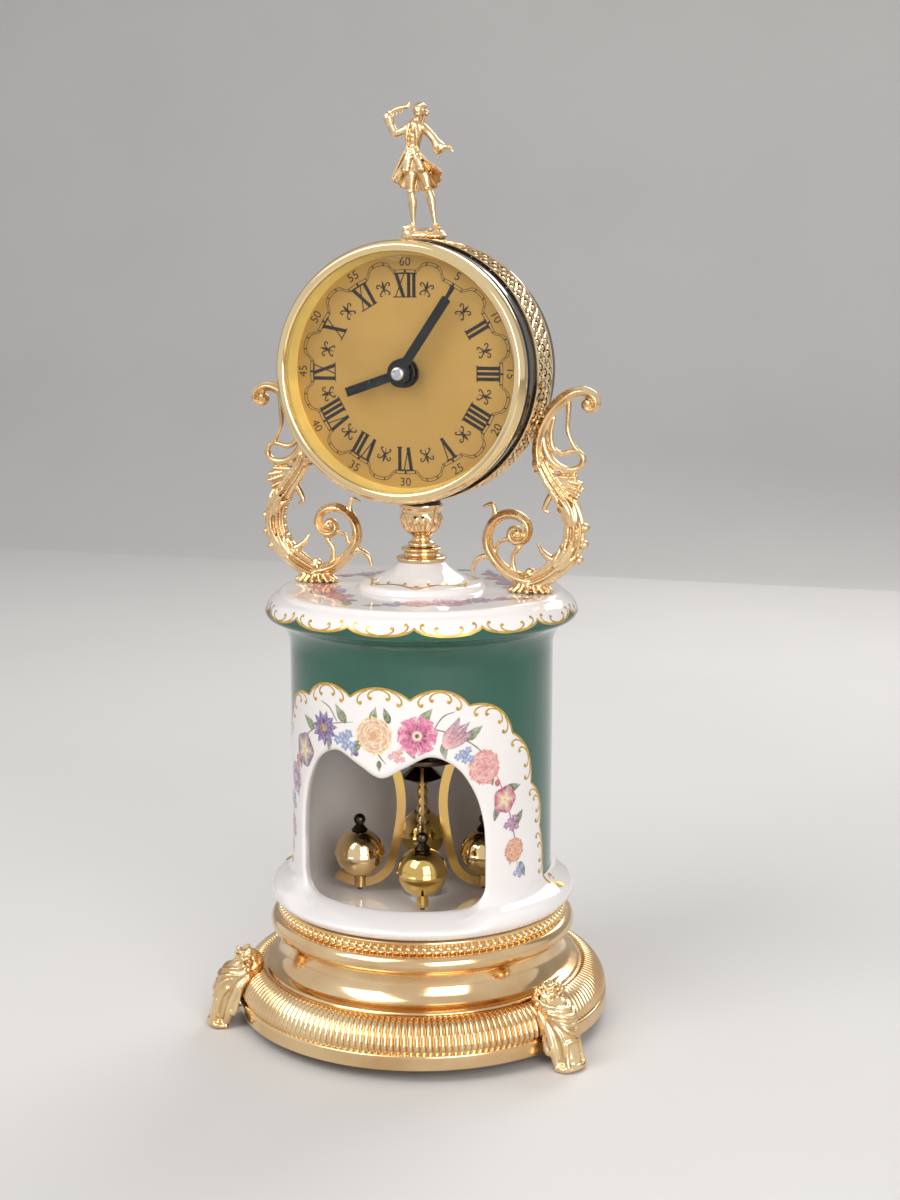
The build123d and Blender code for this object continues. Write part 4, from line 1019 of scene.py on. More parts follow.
def tapered(count, width, start=0.0, end=0.0):
    """Width along a brush stroke that swells from start to full and falls to end."""
    share = np.linspace(0, 1, count)
    rise = np.clip(share / 0.25, 0, 1)
    fall = np.clip((1 - share) / 0.35, 0, 1)
    return width * np.minimum(start + (1 - start) * np.sqrt(rise), end + (1 - end) * np.sqrt(fall))


def sheet(flat, place, lift):
    """Grid of flat points laid on a surface by place(x, y, lift), as an open skin."""
    return skin(place(flat[..., 0], flat[..., 1], lift), cols=False)


def lobe_strokes(lobe, width, depth):
    """Brush strokes of one lobe: its border, and commas that leave it towards the cusps and curl in."""
    lobe = stepped(lobe, 61)
    share = np.linspace(0, 1, 61)
    curl = np.array([(-6.5, 0.12), (-3.6, 0.2), (-1.4, 0.38), (-0.2, 0.66), (-0.3, 0.94), (-1.1, 1.02),
                     (-1.5, 0.82)])
    swell = width * np.interp(np.linspace(0, 1, 36), (0, 0.5, 0.8, 1), (0.4, 0.7, 0.95, 1.3))
    strokes = [ribbon(lobe, tapered(61, width, 0.8, 0.8))]
    for end, size in ((0.93, 1.0), (0.7, 0.9)):
        at = end + curl[:, 0] * size * depth / 4.2 / run_along(lobe)[-1]
        for side in (at, 1 - at):
            root, push = (np.stack([np.interp(side, share, column) for column in line.T], -1)
                          for line in (lobe, right_of(lobe)))
            strokes.append(ribbon(flowing(root + push * curl[:, 1:] * depth * size, 36), swell))
    return strokes


def gold_lines(sizes):
    """All gold borders: panel, rim and boss, as ribbons just over the glaze."""
    width, lift, boss_reach = sizes.line_width / MM, 0.04, 21.0
    parts = []

    def border(lobe, depth, place):
        for step, stroke in enumerate(lobe_strokes(lobe, width, depth)):
            parts.append(sheet(stroke, place, lift + 0.004 * step))

    def round_border(azimuth, run, reach, depth):
        arc = reach * pi / 180
        border(np.stack([azimuth * arc, run], -1), depth, lambda x, y, rise: glaze_at(x / arc, y, rise))

    for lobe in panel_lobes():
        border(lobe, 4.2, on_wall)
    foot = [(83.5, 63.4), (84.6, 60.6), (87.0, 58.4), (90.4, 58.2), (91.6, 60.4), (89.4, 61.4), (88.4, 60.0)]
    for sign in (-1, 1):
        scroll = flowing([(sign * azimuth * ARC_PER_DEGREE, z) for azimuth, z in foot], 48)
        parts.append(sheet(ribbon(scroll, tapered(48, width * 1.7, 0.5, 0.3)), on_wall, lift))
    share = 0.5 - 0.5 * np.cos(np.linspace(0.03, pi - 0.03, 60))
    for number in range(sizes.rim_lobes):
        azimuth = RIM_CUSP_AZIMUTH + 360 / sizes.rim_lobes * (number + 1 - share)
        round_border(azimuth, run_at_height(rim_border(azimuth, sizes.rim_lobes)), TOP_RADIUS, 3.2)
    share = np.linspace(0, 1, 40)
    run = run_at_reach(boss_reach + 2.4 - 3.8 * np.sin(pi * share) ** 0.8)
    for number in range(sizes.boss_lobes):
        round_border(12.0 + 360 / sizes.boss_lobes * (number + 1 - share), run, boss_reach, 2.2)
    return joined(parts)


# Enamel colours, linear from display values
ENAMEL = {key: linear(shown) for key, shown in {
    "plum": (112, 66, 138), "violet": (84, 62, 148), "lilac": (178, 140, 190), "blue": (86, 110, 172),
    "sky": (146, 168, 206), "rose": (206, 110, 118), "crimson": (170, 50, 62), "blush": (232, 178, 172),
    "peach": (226, 150, 112), "cream": (240, 222, 170), "amber": (206, 148, 62), "ink": (62, 34, 44),
    "magenta": (178, 44, 104), "pink": (226, 120, 158), "purple": (112, 50, 112), "mauve": (186, 122, 172),
    "olive": (104, 112, 58), "sage": (138, 150, 112), "moss": (74, 88, 52), "bark": (110, 84, 52),
    "snow": (244, 238, 232),
}.items()}


def blended(core, edge, share):
    """Colours between two named enamels, for each share."""
    return ENAMEL[core] + (ENAMEL[edge] - ENAMEL[core]) * share[..., None]


def polar(root, reach, turn):
    """Points at reaches and angles from a root."""
    return np.stack([root[0] + reach * np.cos(turn), root[1] + reach * np.sin(turn)], -1)


class Spray:
    """Brush work gathered on one surface: patches laid by place(x, y, lift), each with its own colours."""

    def __init__(self, place):
        self.place = place
        self.skins = []
        self.paint = []
        self.level = 0.05
        self.turns = 0
        self.chance = np.random.default_rng(5)

    def lay(self, flat, tones):
        """One patch of flat points with a colour for each of them."""
        self.skins.append(sheet(flat, self.place, self.level))
        self.paint.append(np.broadcast_to(tones, (*flat.shape[:2], 3)).reshape(-1, 3))
        self.level += 0.0012

    def flower(self):
        """Starts a flower over the leaves, each a hair above the last."""
        self.turns = (self.turns + 1) % 7
        self.level = 0.09 + 0.0002 * self.turns

    def petal(self, root, angle, reach, width, core, edge, notch=0.0, fine=True, full=False):
        """Petal: half-width width sin(pi t^0.75), or sin(pi t^1.7)^0.6 if it is full, with a ruffled rim,
        streaked from core to edge and paler in the lights."""
        along = np.linspace(0, 1, 12 if fine else 6)[:, None]
        across = np.linspace(-1, 1, 13 if fine else 5)[None]
        phase = self.chance.uniform(0, 2 * pi, 3)
        swell = np.sin(pi * np.clip(along * 0.93 + 0.03, 0, 1) ** (1.7 if full else 0.75))
        half = width * (swell**0.6 if full else swell)
        ruffle = 1 + 0.06 * np.sin(6 * across + phase[0]) * along**3
        x = along * reach * ruffle * (1 - notch * np.exp(-(across * 2.2) ** 2) * along**4)
        y = half * across * (1 + 0.06 * np.sin(8 * along + phase[1]))
        c, s = cos(angle), sin(angle)
        flat = np.stack([root[0] + c * x - s * y, root[1] + s * x + c * y], -1)
        streak = 0.5 + 0.5 * np.sin(10 * across + 2 * along + phase[2])
        tone = blended(core, edge, np.clip(along**0.8 * (0.5 + 0.65 * streak), 0, 1))
        light = 0.45 * np.clip((along - 0.45) / 0.4, 0, 1) * np.cos(4 * across + phase[0]).clip(0) ** 2
        self.lay(flat, tone + (ENAMEL["snow"] - tone) * light[..., None])

    def disc(self, root, radius, core, edge):
        """Round dab, colour from its middle to its rim."""
        out = np.linspace(0, 1, 5)[:, None]
        self.lay(polar(root, radius * out, np.linspace(0, 2 * pi, 17)), blended(core, edge, out))

    def stroke(self, points, width, tone):
        """Brush stroke through points."""
        line = flowing(points, 6 * len(points))
        self.lay(ribbon(line, tapered(len(line), width, 0.3, 0.1)), ENAMEL[tone])

    def leaf(self, root, angle, reach, tone="olive", edge="sage"):
        """Pointed leaf with a midrib."""
        self.level = 0.06 + (self.level - 0.06) % 0.02
        self.petal(root, angle, reach, reach * 0.24, tone, edge)
        tip = polar(root, reach * 0.9, angle)
        middle = (tip + root) / 2 + 0.04 * reach * np.array([sin(angle), -cos(angle)])
        self.stroke([root, middle, tip], 0.22, "moss")

    def daisy(self, root, radius, core, edge, petals=9):
        """Ring of narrow petals round a dotted eye."""
        self.flower()
        for turn in angles(petals):
            self.petal(root, turn + 0.2, radius, radius * 0.24, core, edge, 0.1)
        self.disc(root, radius * 0.26, "amber", "olive")

    def anemone(self, root, radius, core, edge):
        """Six broad petals with dark stamens round a pale eye."""
        self.flower()
        out = np.array([0.25, 0.5, 0.8])
        for turn in angles(6) + 0.5:
            self.petal(root, turn, radius, radius * 0.5, core, edge, 0.12, full=True)
            for aside in (-0.26, 0.0, 0.26):
                self.stroke(polar(root, radius * out, turn + aside * out), radius * 0.05, core)
        self.disc(root, radius * 0.26, "cream", "blush")
        for turn in angles(11):
            self.disc(polar(root, radius * 0.38, turn), radius * 0.055, "ink", "ink")
        self.disc(root, radius * 0.11, "moss", "ink")

    def trumpet(self, root, radius, core, edge):
        """Open trumpet: a scalloped disc with a star of pale lines."""
        self.flower()
        out = np.linspace(0, 1, 8)[:, None]
        turn = np.linspace(0, 2 * pi, 41)[None]
        flat = polar(root, radius * out * (1 - 0.06 * (1 - np.cos(5 * turn))), turn)
        star = np.clip(1.15 * out - 0.35 * (0.5 + 0.5 * np.cos(5 * turn)) ** 4, 0, 1)
        self.lay(flat, blended(core, edge, star))
        self.disc(root, radius * 0.14, "amber", "cream")

    def rose(self, root, radius, core="amber", mid="cream", edge="blush"):
        """Rings of full petals, smaller inwards, with a swirl of strokes at the heart."""
        self.flower()
        for ring, (count, share) in enumerate(((7, 1.0), (6, 0.8), (5, 0.6), (4, 0.42))):
            reach = radius * share
            for number in range(count):
                turn = 2 * pi * (number + 0.5 * ring) / count
                self.petal(root, turn, reach, reach * 0.52, core, edge if ring % 2 else mid, 0.05, full=True)
                bow = polar(root, reach * 0.9, turn + np.array([-0.4, -0.15, 0.15, 0.4]))
                self.stroke(bow, radius * 0.05, core)
        step = np.array([0, 0.6, 1.2, 1.8])
        for turn in (0.4, 2.5, 4.6):
            self.stroke(polar(root, radius * (0.08 + 0.08 * step), turn + step), radius * 0.08, core)

    def tulip(self, root, reach, angle, core, edge):
        """Closed cup of three long petals with stripes."""
        self.flower()
        for turn, width in ((-0.32, 0.2), (0.32, 0.2), (0.0, 0.25)):
            self.petal(root, angle + turn, reach * (1.0 if turn else 1.06), reach * width, core, edge)
        for turn in (-0.3, -0.1, 0.12, 0.32):
            self.stroke(polar(root, reach * np.array([0.2, 0.5, 0.8]), angle + turn), 0.24, "crimson")

    def cluster(self, root, radius, core="sky", edge="blue", count=6):
        """Tuft of small five-petalled florets."""
        self.flower()
        for number in range(count):
            turn = 2.4 * number
            spot = polar(root, radius * 0.72 * sqrt(number / count), turn)
            for aside in angles(5):
                self.petal(spot, aside + turn, radius * 0.36, radius * 0.15, core, edge, fine=False)
            self.disc(spot, radius * 0.08, "cream", "amber")


def panel_flowers(size):
    """Garland over the panel's arch and down both of its sides, about a middle group at the top."""
    spray = Spray(on_wall)
    for stem in (
            [(-45, 112), (-36, 122), (-24, 128), (-10, 131)], [(12, 131), (26, 128), (38, 121), (46, 110)],
            [(46, 110), (51, 98), (55, 84), (57, 70)], [(-45, 112), (-51, 99), (-55, 86), (-58, 72)],
            [(-4, 126), (0, 119), (3, 115.5)], [(20, 128), (24, 134), (29, 136)],
            [(-18, 130), (-22, 135), (-27, 137)]):
        spray.stroke(stem, 0.5, "bark")
    for x, z, angle, reach in (
            (-14, 130, 2.2, 8), (-8, 124, 4.2, 7), (10, 125, 5.2, 7.5), (15, 131, 0.9, 8), (-31, 125, 2.6, 8),
            (-37, 119, 3.6, 7.5), (33, 125, 0.6, 8), (40, 118, 5.6, 7.5), (-48, 106, 3.3, 8),
            (-47, 101, 5.0, 6.5), (50, 103, 0.1, 8), (47, 98, 4.4, 6.5), (-54, 90, 2.5, 7), (-54, 83, 4.6, 7),
            (55, 88, 0.9, 7), (54, 80, 4.5, 7), (-58, 74, 4.2, 7), (58, 73, 5.2, 7), (-22, 124, 4.6, 6),
            (24, 124, 4.9, 6), (-3, 131, 1.3, 6.5), (4, 131.5, 1.9, 6), (-42, 113, 4.7, 6), (43, 112, 4.9, 6),
            (0, 117, 4.7, 4)):
        spray.leaf((x, z), angle, reach, *(("olive", "sage") if (x + z) % 2 < 1 else ("moss", "olive")))
    for paint, x, z, share, *settings in (
            (spray.daisy, -25, 126.5, 0.9, "purple", "violet", 11),
            (spray.trumpet, -38.5, 115.5, 0.92, "cream", "purple"),
            (spray.cluster, -14.5, 123.6, 0.75),
            (spray.anemone, 14.5, 127, 1, "magenta", "pink"),
            (spray.rose, -2, 126.5, 0.94),
            (spray.cluster, 6.8, 119.2, 0.5, "blush", "rose"),
            (spray.tulip, 24.5, 122.5, 1.6, 0.75, "blush", "purple"),
            (spray.rose, 40.5, 113.5, 0.88, "rose", "peach", "blush"),
            (spray.cluster, 32.5, 119, 0.6),
            (spray.anemone, -48.5, 102, 0.8, "purple", "mauve"),
            (spray.cluster, -45, 109.5, 0.5, "rose", "crimson", 4),
            (spray.cluster, -53, 91.5, 0.6),
            (spray.daisy, -54.5, 80.5, 0.7, "crimson", "rose"),
            (spray.cluster, -58, 70.5, 0.5, "cream", "amber", 5),
            (spray.trumpet, 50, 99.5, 0.74, "cream", "magenta"),
            (spray.cluster, 53.5, 89.5, 0.6, "mauve", "purple"),
            (spray.rose, 55, 78.5, 0.64, "amber", "rose", "peach"),
            (spray.cluster, 58, 69.5, 0.5, "sky", "blue", 5),
            (spray.disc, -9.4, 118.8, 0.14, "violet", "plum"),
            (spray.disc, 46.4, 106.6, 0.18, "crimson", "rose")):
        paint((x, z), size * share, *settings)
    return spray


def lid_flowers(size):
    """Four loose sprays round the flat top, each on a patch bent to the ring it lies on."""
    ring = 39.0
    arc = ring * pi / 180
    spray = Spray(lambda x, y, rise: glaze_at(x / arc, run_at_reach(ring + y), rise))
    for number, azimuth in enumerate((34, 124, 214, 304)):
        middle = azimuth * arc
        stem = ((-24, 5), (-12, -3), (0, -2), (12, -3), (24, 5))
        spray.stroke([(middle + x, y) for x, y in stem], 0.5, "bark")
        for step, turn in ((-24, 2.7), (-19, 4.3), (-12, 1.6), (-5, 4.9), (5, 1.3), (11, 5.2), (19, 0.5),
                           (24, 1.1)):
            spray.leaf((middle + step, -3 + 0.014 * step**2), turn, 7.0)
        first, second = ("magenta", "pink"), ("purple", "mauve")
        if number % 2:
            first, second = second, first
        spray.anemone((middle, -1), size * 0.95, *first)
        spray.rose((middle - 12.5, -1), size * 0.8, "rose", "blush", "pink")
        spray.daisy((middle + 12.5, -1), size * 0.8, *second)
        spray.cluster((middle + 21, 3), size * 0.6, *first)
        spray.cluster((middle - 21, 3), size * 0.6)
    return spray


# Stem between the porcelain and the head


def stem_collar():
    """Turned collar: flared foot, bead and neck, as a closed profile about Z."""
    foot, mouth = 9.4, 7.6
    profile = outline(
        (STEM_BORE, BOSS_TOP), (foot, BOSS_TOP), ((foot, BOSS_TOP + 1.6), -0.6), (foot - 1.4, BOSS_TOP + 1.9),
        ((mouth - 0.8, COLLAR_TOP - 1.6), 0.5), (mouth, COLLAR_TOP - 1.3), ((mouth, COLLAR_TOP), -0.5),
        (STEM_BORE, COLLAR_TOP))
    return turned(profile, 0.3, 96)


def stem_vase():
    """Bead, neck and gadrooned bowl: r(a, z) = bowl(z) - depth(z) (1 - |cos(n a / 2)|^1.5)."""
    flutes, bore, low, top = 16, 3.4, COLLAR_TOP, VASE_TOP
    sides = 12 * flutes
    neck = outline((bore, low), (4.3, low), ((4.3, low + 2.3), -1.1), ((4.6, low + 5), 0.8))
    bowl = flowing([(4.9, low + 5.1), (6.9, low + 7), (8.2, low + 9.6), (8.5, low + 11.6), (7.9, low + 13.2),
                    (8, top + 0.3), (8.6, top + 1.8), (8.5, top + 2.6)], 44)
    mouth = outline((7.8, top + 2.6), (7.8, top), (bore, top))
    profile = np.vstack([even(neck, 0.3), bowl, even(mouth, 0.5)])
    grid = lathe(profile, sides)
    share = np.clip((profile[:, 1] - low - 5.2) / (top - low - 7), 0, 1)
    depth = 0.95 * np.sin(pi * share) ** 0.6
    groove = depth[:, None] * (1 - np.abs(np.cos(flutes * angles(sides) / 2)) ** 1.5)
    return skin(grid - groove[..., None] * unit(grid * LEVEL), rows=True)


# Scrolled handles


def cast_handle():
    """Right handle from tapering rods in the XZ plane: C-scroll trunk, volutes, leaves and buds,
    drawn over one level and then lifted to the flat top."""
    drawn_level, foot_x = 174.5, 44.3

    def stroke(points, sides=12, **settings):
        return limb([(x, 0, z, r) for x, z, r in points], sides, **settings)

    parts = [
        stroke([(44, 178.5, 3), (49, 180.6, 3.2), (55.5, 185.4, 3.4), (60.2, 192.2, 3.6), (61.6, 199, 3.5),
                (60.3, 206, 3.3), (56.2, 212.6, 3), (51.8, 218.5, 2.6), (48.6, 224.4, 2.4)], 42, flat=1.25,
               ribs=9, rib_depth=0.24),
        stroke([(47.6, 224.5, 2.3), (47, 231, 2.1), (48.6, 238.6, 2), (52.2, 245, 2), (56.6, 249.2, 2.1),
                (61, 251.8, 1.8), (65.2, 252.2, 1.7), (69, 249.9, 1.6), (69.2, 246.6, 1.4),
                (66.4, 245.4, 1.2), (64.6, 247.4, 1), (66.2, 249.2, 0.9)], 32, flat=1.45, ribs=4,
               rib_depth=0.17),
        stroke([(58.8, 248.6, 1.1), (58.6, 243, 1), (58.4, 238, 0.9), (59.8, 233.6, 0.9), (62.2, 230, 1),
                (64.4, 227.6, 1.2), (64.2, 224.6, 1.2), (61.6, 222.6, 1.4), (57, 222.6, 1.6),
                (52.4, 225.4, 1.8), (49.6, 230, 1.6), (48.8, 235, 1.2)], flat=1.2),
        stroke([(53, 242, 0.9), (51.9, 236, 1), (52.6, 231, 1.1), (55.4, 228.6, 1.1), (59, 229.2, 1),
                (61.2, 229.8, 0.9)], flat=1.2),
        stroke([(53, 214, 1.4), (50.5, 209.5, 1.2), (49.6, 206.8, 0.9), (51.2, 205.9, 0.6)]),
        stroke([(57.6, 187.4, 2.2), (52.8, 187.8, 1.7), (49.2, 190.4, 1.1), (47.4, 193.2, 0.5)], flat=1.3),
        stroke([(44, 178.8, 2.6), (38.5, 180.2, 2.2), (33.4, 183.2, 2), (29.4, 187.6, 1.9), (27.2, 192, 1.9),
                (27.1, 196.6, 1.8), (29.4, 201.4, 1.7), (33.6, 204.3, 1.7), (38.4, 204.4, 1.7),
                (42.3, 201.9, 1.6), (43.4, 198, 1.6), (41.6, 194.8, 1.5), (38.2, 194, 1.4), (35.9, 196, 1.3),
                (36.8, 198.9, 1.1), (39.4, 198.9, 1), (39.6, 197.2, 0.9)], 32, flat=1.4, ribs=4,
               rib_depth=0.15),
        stroke([(29.7, 202.6, 1.3), (29.9, 205.4, 1.1), (28.7, 208.4, 0.9), (25.4, 207.4, 0.5)]),
        stroke([(28.8, 187.6, 1.4), (25, 187.6, 1.1), (22, 185.4, 1), (20.9, 181.8, 0.6)]),
        stroke([(39.6, 191.8, 1.1), (37.3, 188.4, 1), (37.4, 184.4, 1), (38.6, 181.4, 1.1)]),
        stroke([(30.6, 190.4, 0.8), (31.6, 193.6, 0.8), (34.6, 194.8, 0.9)]),
        blob((47.4, 0, 224.4), (2.9, 3.4, 2.9)),
        blob((47.4, 0, 227.2), (2.3, 2.8, 1)),
        blob((47.6, 0, 221.6), (2.4, 2.9, 1)),
        blob((66.2, 0, 248), (1.9, 2.6, 1.9)),
        blob((39, 0, 197.4), (1.9, 2.6, 1.9)),
        limb([(foot_x, 0, drawn_level + 7, 2.6), (foot_x, 0, drawn_level + 3.6, 4.2),
              (foot_x, 0, drawn_level + 0.6, 6.6)], 24, flat=0.62),
    ]
    for bend, tip in (((56.4, 219.6), (61.6, 219.7)), ((57.6, 218.3), (63.8, 217.2)),
                      ((57.8, 216.8), (64.2, 214.7)), ((57, 215.4), (62.6, 212.2)),
                      ((55.6, 214.4), (59.4, 211))):
        rib_end = 0.2 * np.array(bend) + 0.8 * np.array(tip)
        parts.append(stroke([(51.4, 220, 1), (*bend, 0.85), (*tip, 1)], flat=1.9))
        parts.append(stroke([(52.4, 219.4, 1.4), (*bend, 1.3), (*rib_end, 1.2)], flat=0.8))
    for x, z in ((65.5, 200.4), (65.2, 193.9), (63.2, 187.9)):
        parts.append(blob((x, 0, z), (2.1, 2.3, 1.9)))
        parts.append(stroke([(x - 3.6, z - 0.4, 1.5), (x - 1, z, 1.2)]))
    trunk = flowing([(50, 181.2), (57.4, 187.8), (60.8, 194), (61.6, 199), (60.3, 206), (56.2, 212.6),
                     (51, 219.6)], 31)
    aside = right_of(trunk)
    share = np.linspace(0, 1, 6)
    for root in (4, 16):
        for fan in np.linspace(-1, 1, 5):
            at = np.rint(root + (8 - 2 * abs(fan)) * share).astype(int)
            off = 3.7 * fan * (0.35 + 0.65 * share)
            x, z = (trunk[at] + aside[at] * off[:, None]).T
            depth = 4.4 * np.sqrt(1 - (off / 4) ** 2) + 0.7 * share
            for side in (-1, 1):
                parts.append(limb(np.stack([x, side * depth, z, 0.3 + 0.6 * np.sin(pi * share**0.7)], -1), 8))
    for x, z in (trunk - aside * 3.4)[6:22:3]:
        parts.append(blob((x, 0, z), (1, 1.9, 1), 10, 6))
    for turn in angles(16):
        parts.append(limb([(foot_x + x * cos(turn), y * sin(turn), drawn_level + z, r) for x, y, z, r in (
            (3.2, 2, 6.4, 0.6), (4.9, 3.1, 3.8, 0.85), (6.8, 4.3, 1.8, 1), (8.2, 5.1, 0.8, 1))], 8))
    return [(np.column_stack([points[:, :2], np.maximum(points[:, 2] - drawn_level, 0) + PLATEAU]), quads)
            for points, quads in parts]


# Clock head


def bezel_ring():
    """Convex bezel round the glass, a closed profile about the head's axis."""
    bore, lip = MOUTH_RADIUS + 0.15, MOUTH_RADIUS - 1.3
    seat = GLASS_BACK + 1.9
    profile = outline(
        (bore, BEZEL_BACK), (BEZEL_RADIUS - 1.2, BEZEL_BACK), ((BEZEL_RADIUS, BEZEL_BACK + 1.6), -0.35),
        ((BEZEL_RADIUS - 1.3, BEZEL_FRONT - 0.4), -0.7), ((BEZEL_RADIUS - 2.4, BEZEL_FRONT), -0.3),
        ((lip, seat + 0.9), -0.5), (lip, seat), (bore, seat))
    return turned(profile, 0.3, 256, from_head)


def case_shell():
    """Tube that steps in to its mouth, with a rear ring: a closed profile about the head's axis."""
    wall, ring, web = 1.2, 4.8, 2.0
    bore, mouth = CASE_RADIUS - wall, MOUTH_RADIUS - wall
    step, back = BEZEL_BACK - 0.1, CASE_BACK
    profile = outline(
        (mouth, CASE_FRONT), (MOUTH_RADIUS, CASE_FRONT), (MOUTH_RADIUS, step), (CASE_RADIUS - 0.8, step),
        ((CASE_RADIUS, step - 0.8), -0.23), (CASE_RADIUS, back + 0.6), ((CASE_RADIUS - 0.6, back), -0.15),
        (bore, back), (bore, back + 2.3), (bore - ring, back + 2.3), (bore - ring, back + 4.2),
        (bore, back + 4.2), (bore, step - web), (mouth, step - web))
    return turned(profile, 0.4, 224, from_head)


def lace_band(sizes):
    """Pierced band on the case's round: edge wires, three rows of waves that cross, u = c +- s sin(n a),
    and a rosette in each eye between them."""
    wire = sizes.lace_wire / MM
    reach = BAND_RADIUS - wire - 0.12
    front, back = BAND_FRONT - wire - 0.1, BAND_BACK + wire + 0.1
    waves, inset = 34, 1.5
    turn = angles(32 * waves)
    away = np.stack([np.sin(turn), 0 * turn, np.cos(turn)], -1)
    roll = angles(5)[:, None]
    parts = []

    def ring(forward, out=0.0, radius=wire):
        level = np.broadcast_to(-forward, turn.shape)[:, None] * [0, 1, 0]
        centre = (reach + out) * away + level + [0, 0, HEAD_LEVEL]
        along = unit(np.roll(centre, -1, 0) - np.roll(centre, 1, 0))
        around = np.cos(roll) * away[:, None] + np.sin(roll) * np.cross(along, away)[:, None]
        parts.append(skin(centre[:, None] + radius * around, rows=True))

    for edge, inwards in ((front, -inset), (back, inset)):
        ring(edge)
        ring(edge + inwards, -0.1, wire * 0.7)
    row_width = (front - back - 2 * inset) / 3
    flat, quads = blob((0, 0, 0), (1.0, 0.4, 1.5), 8, 5)
    for row in range(3):
        middle = back + inset + row_width * (row + 0.5)
        for sign in (-1, 1):
            ring(middle + sign * row_width * 0.52 * np.sin(waves * turn + 0.5 * pi * row), 0.08 * sign)
        for number in range(2 * waves):
            angle = (pi * (number + 0.5) - 0.5 * pi * row) / waves
            rosette = turned_flat(flat[:, :2], np.degrees(angle), reach)
            parts.append((from_head(np.column_stack([rosette, middle + flat[:, 2]])), quads))
    return joined(parts)


def glass_dome():
    """Domed glass of even thickness, a closed profile about the head's axis."""
    clear, rim, thick = MOUTH_RADIUS - 1.8, MOUTH_RADIUS - 0.1, 1.8
    out = np.linspace(0.0, 1.0, 40)
    under = np.stack([clear * out, GLASS_BACK + (GLASS_FRONT - GLASS_BACK - thick) * (1 - out**2)], -1)
    edge = [[rim, GLASS_BACK + thick], [rim, GLASS_BACK]]
    return skin(from_head(lathe(np.vstack([under + [0, thick], edge, under[::-1]]), 128)))


# Printing on the dial, in the dial's own plane: x right and y up from its middle

ROMAN = ["XII", "I", "II", "III", "IIII", "V", "VI", "VII", "VIII", "IX", "X", "XI"]


def roman_strokes(word, height):
    """Bars of a Roman numeral centred on the origin: thick and thin strokes, and serif lines."""
    thick, thin, gap, serif = 0.155 * height, 0.05 * height, 0.08 * height, 0.05 * height
    low, high = -height / 2, height / 2
    widths = {"I": thick, "V": 0.46 * height, "X": 0.5 * height}
    left = -(sum(widths[letter] for letter in word) + gap * (len(word) - 1)) / 2
    strokes = []
    for letter in word:
        right = left + widths[letter]
        middle = (left + right) / 2
        if letter == "I":
            strokes.append(ribbon([(middle, low), (middle, high)], thick))
        elif letter == "V":
            strokes.append(ribbon([(left + thick / 2, high), (middle, low)], thick))
            strokes.append(ribbon([(right - thin, high), (middle, low)], thin))
        else:
            strokes.append(ribbon([(left + thick / 2, high), (right - thick / 2, low)], thick))
            strokes.append(ribbon([(right - thin, high), (left + thin, low)], thin))
        for level in (high,) if letter == "V" else (high, low):
            strokes.append(ribbon([(left - serif, level), (right + serif, level)], thin))
        left = right + gap
    return strokes


def fleur_strokes(height):
    """Half-hour ornament: a slim pointed leaf, two pairs of thin curls and a cross bar."""
    strokes = [ribbon(np.array([(0, -0.5), (0, -0.15), (0, 0.2), (0, 0.5)]) * height,
                      np.array([0.03, 0.08, 0.17, 0.02]) * height)]
    for side in (-1, 1):
        for points in ([(0.03, -0.1), (0.16, 0.14), (0.34, 0.28), (0.46, 0.2), (0.42, 0.06), (0.33, 0.1)],
                       [(0.03, -0.16), (0.18, -0.22), (0.34, -0.38), (0.3, -0.5), (0.2, -0.44)]):
            curl = flowing([(x * side, y) for x, y in points], 24) * height
            strokes.append(ribbon(curl, tapered(24, 0.085 * height, 0.4, 0.7)))
    strokes.append(ribbon(np.array([(-0.18, -0.13), (0.18, -0.13)]) * height, 0.05 * height))
    return strokes


def round_track():
    """Double line round the dial that steps out in an arch over each half hour, with minute ticks."""
    gap = 1.1
    bow = np.linspace(6.4, 0.0, 10)
    arch = np.stack([bow, 39.5 + 2.4 * np.sqrt(1 - (bow / 6.5) ** 2)], -1)
    half = np.vstack([[(15, 38.2), (8.2, 38.2), (7.6, 38.9), (6.8, 39.3)], arch])
    cell = np.vstack([half, half[-2::-1] * [-1, 1]])
    strokes = []
    for hour in range(12):
        turn = np.radians(30 * hour + 15 - cell[:, 0])
        for inset in (0.0, gap):
            reach = cell[:, 1] - inset
            strokes.append(ribbon(np.stack([reach * np.sin(turn), reach * np.cos(turn)], -1), 0.24))
    for minute in range(60):
        from_half = 15 - abs((6 * minute + 15) % 30 - 15)
        reach = np.interp(from_half, half[::-1, 0], half[::-1, 1])
        ray = np.array([sin(radians(6 * minute)), cos(radians(6 * minute))])
        strokes.append(ribbon([ray * (reach - gap), ray * reach], 0.42 if minute % 5 else 0.8))
    return strokes


def small_figures():
    """Minute numbers as flat triangles from text outlines: points (x, y) and faces."""
    points, faces, start = [], [], 0
    for minute in range(5, 61, 5):
        text = bpy.data.curves.new("figure", "FONT")
        text.body = str(minute)
        text.size = 4.6 * MM
        text.align_x, text.align_y = "CENTER", "CENTER"
        text.resolution_u = 4
        mesh = plain_mesh(new_object("figure", text))
        mesh.calc_loop_triangles()
        flat = read(mesh.vertices, "co")[:, :2] / MM
        flat = flat - (flat.min(0) + flat.max(0)) / 2
        upside = 20 <= minute <= 40
        points.append(turned_flat(-flat if upside else flat, 6 * minute, 41.2))
        faces.append(read(mesh.loop_triangles, "vertices", int) + start)
        start += len(flat)
    return np.vstack(points), np.vstack(faces)


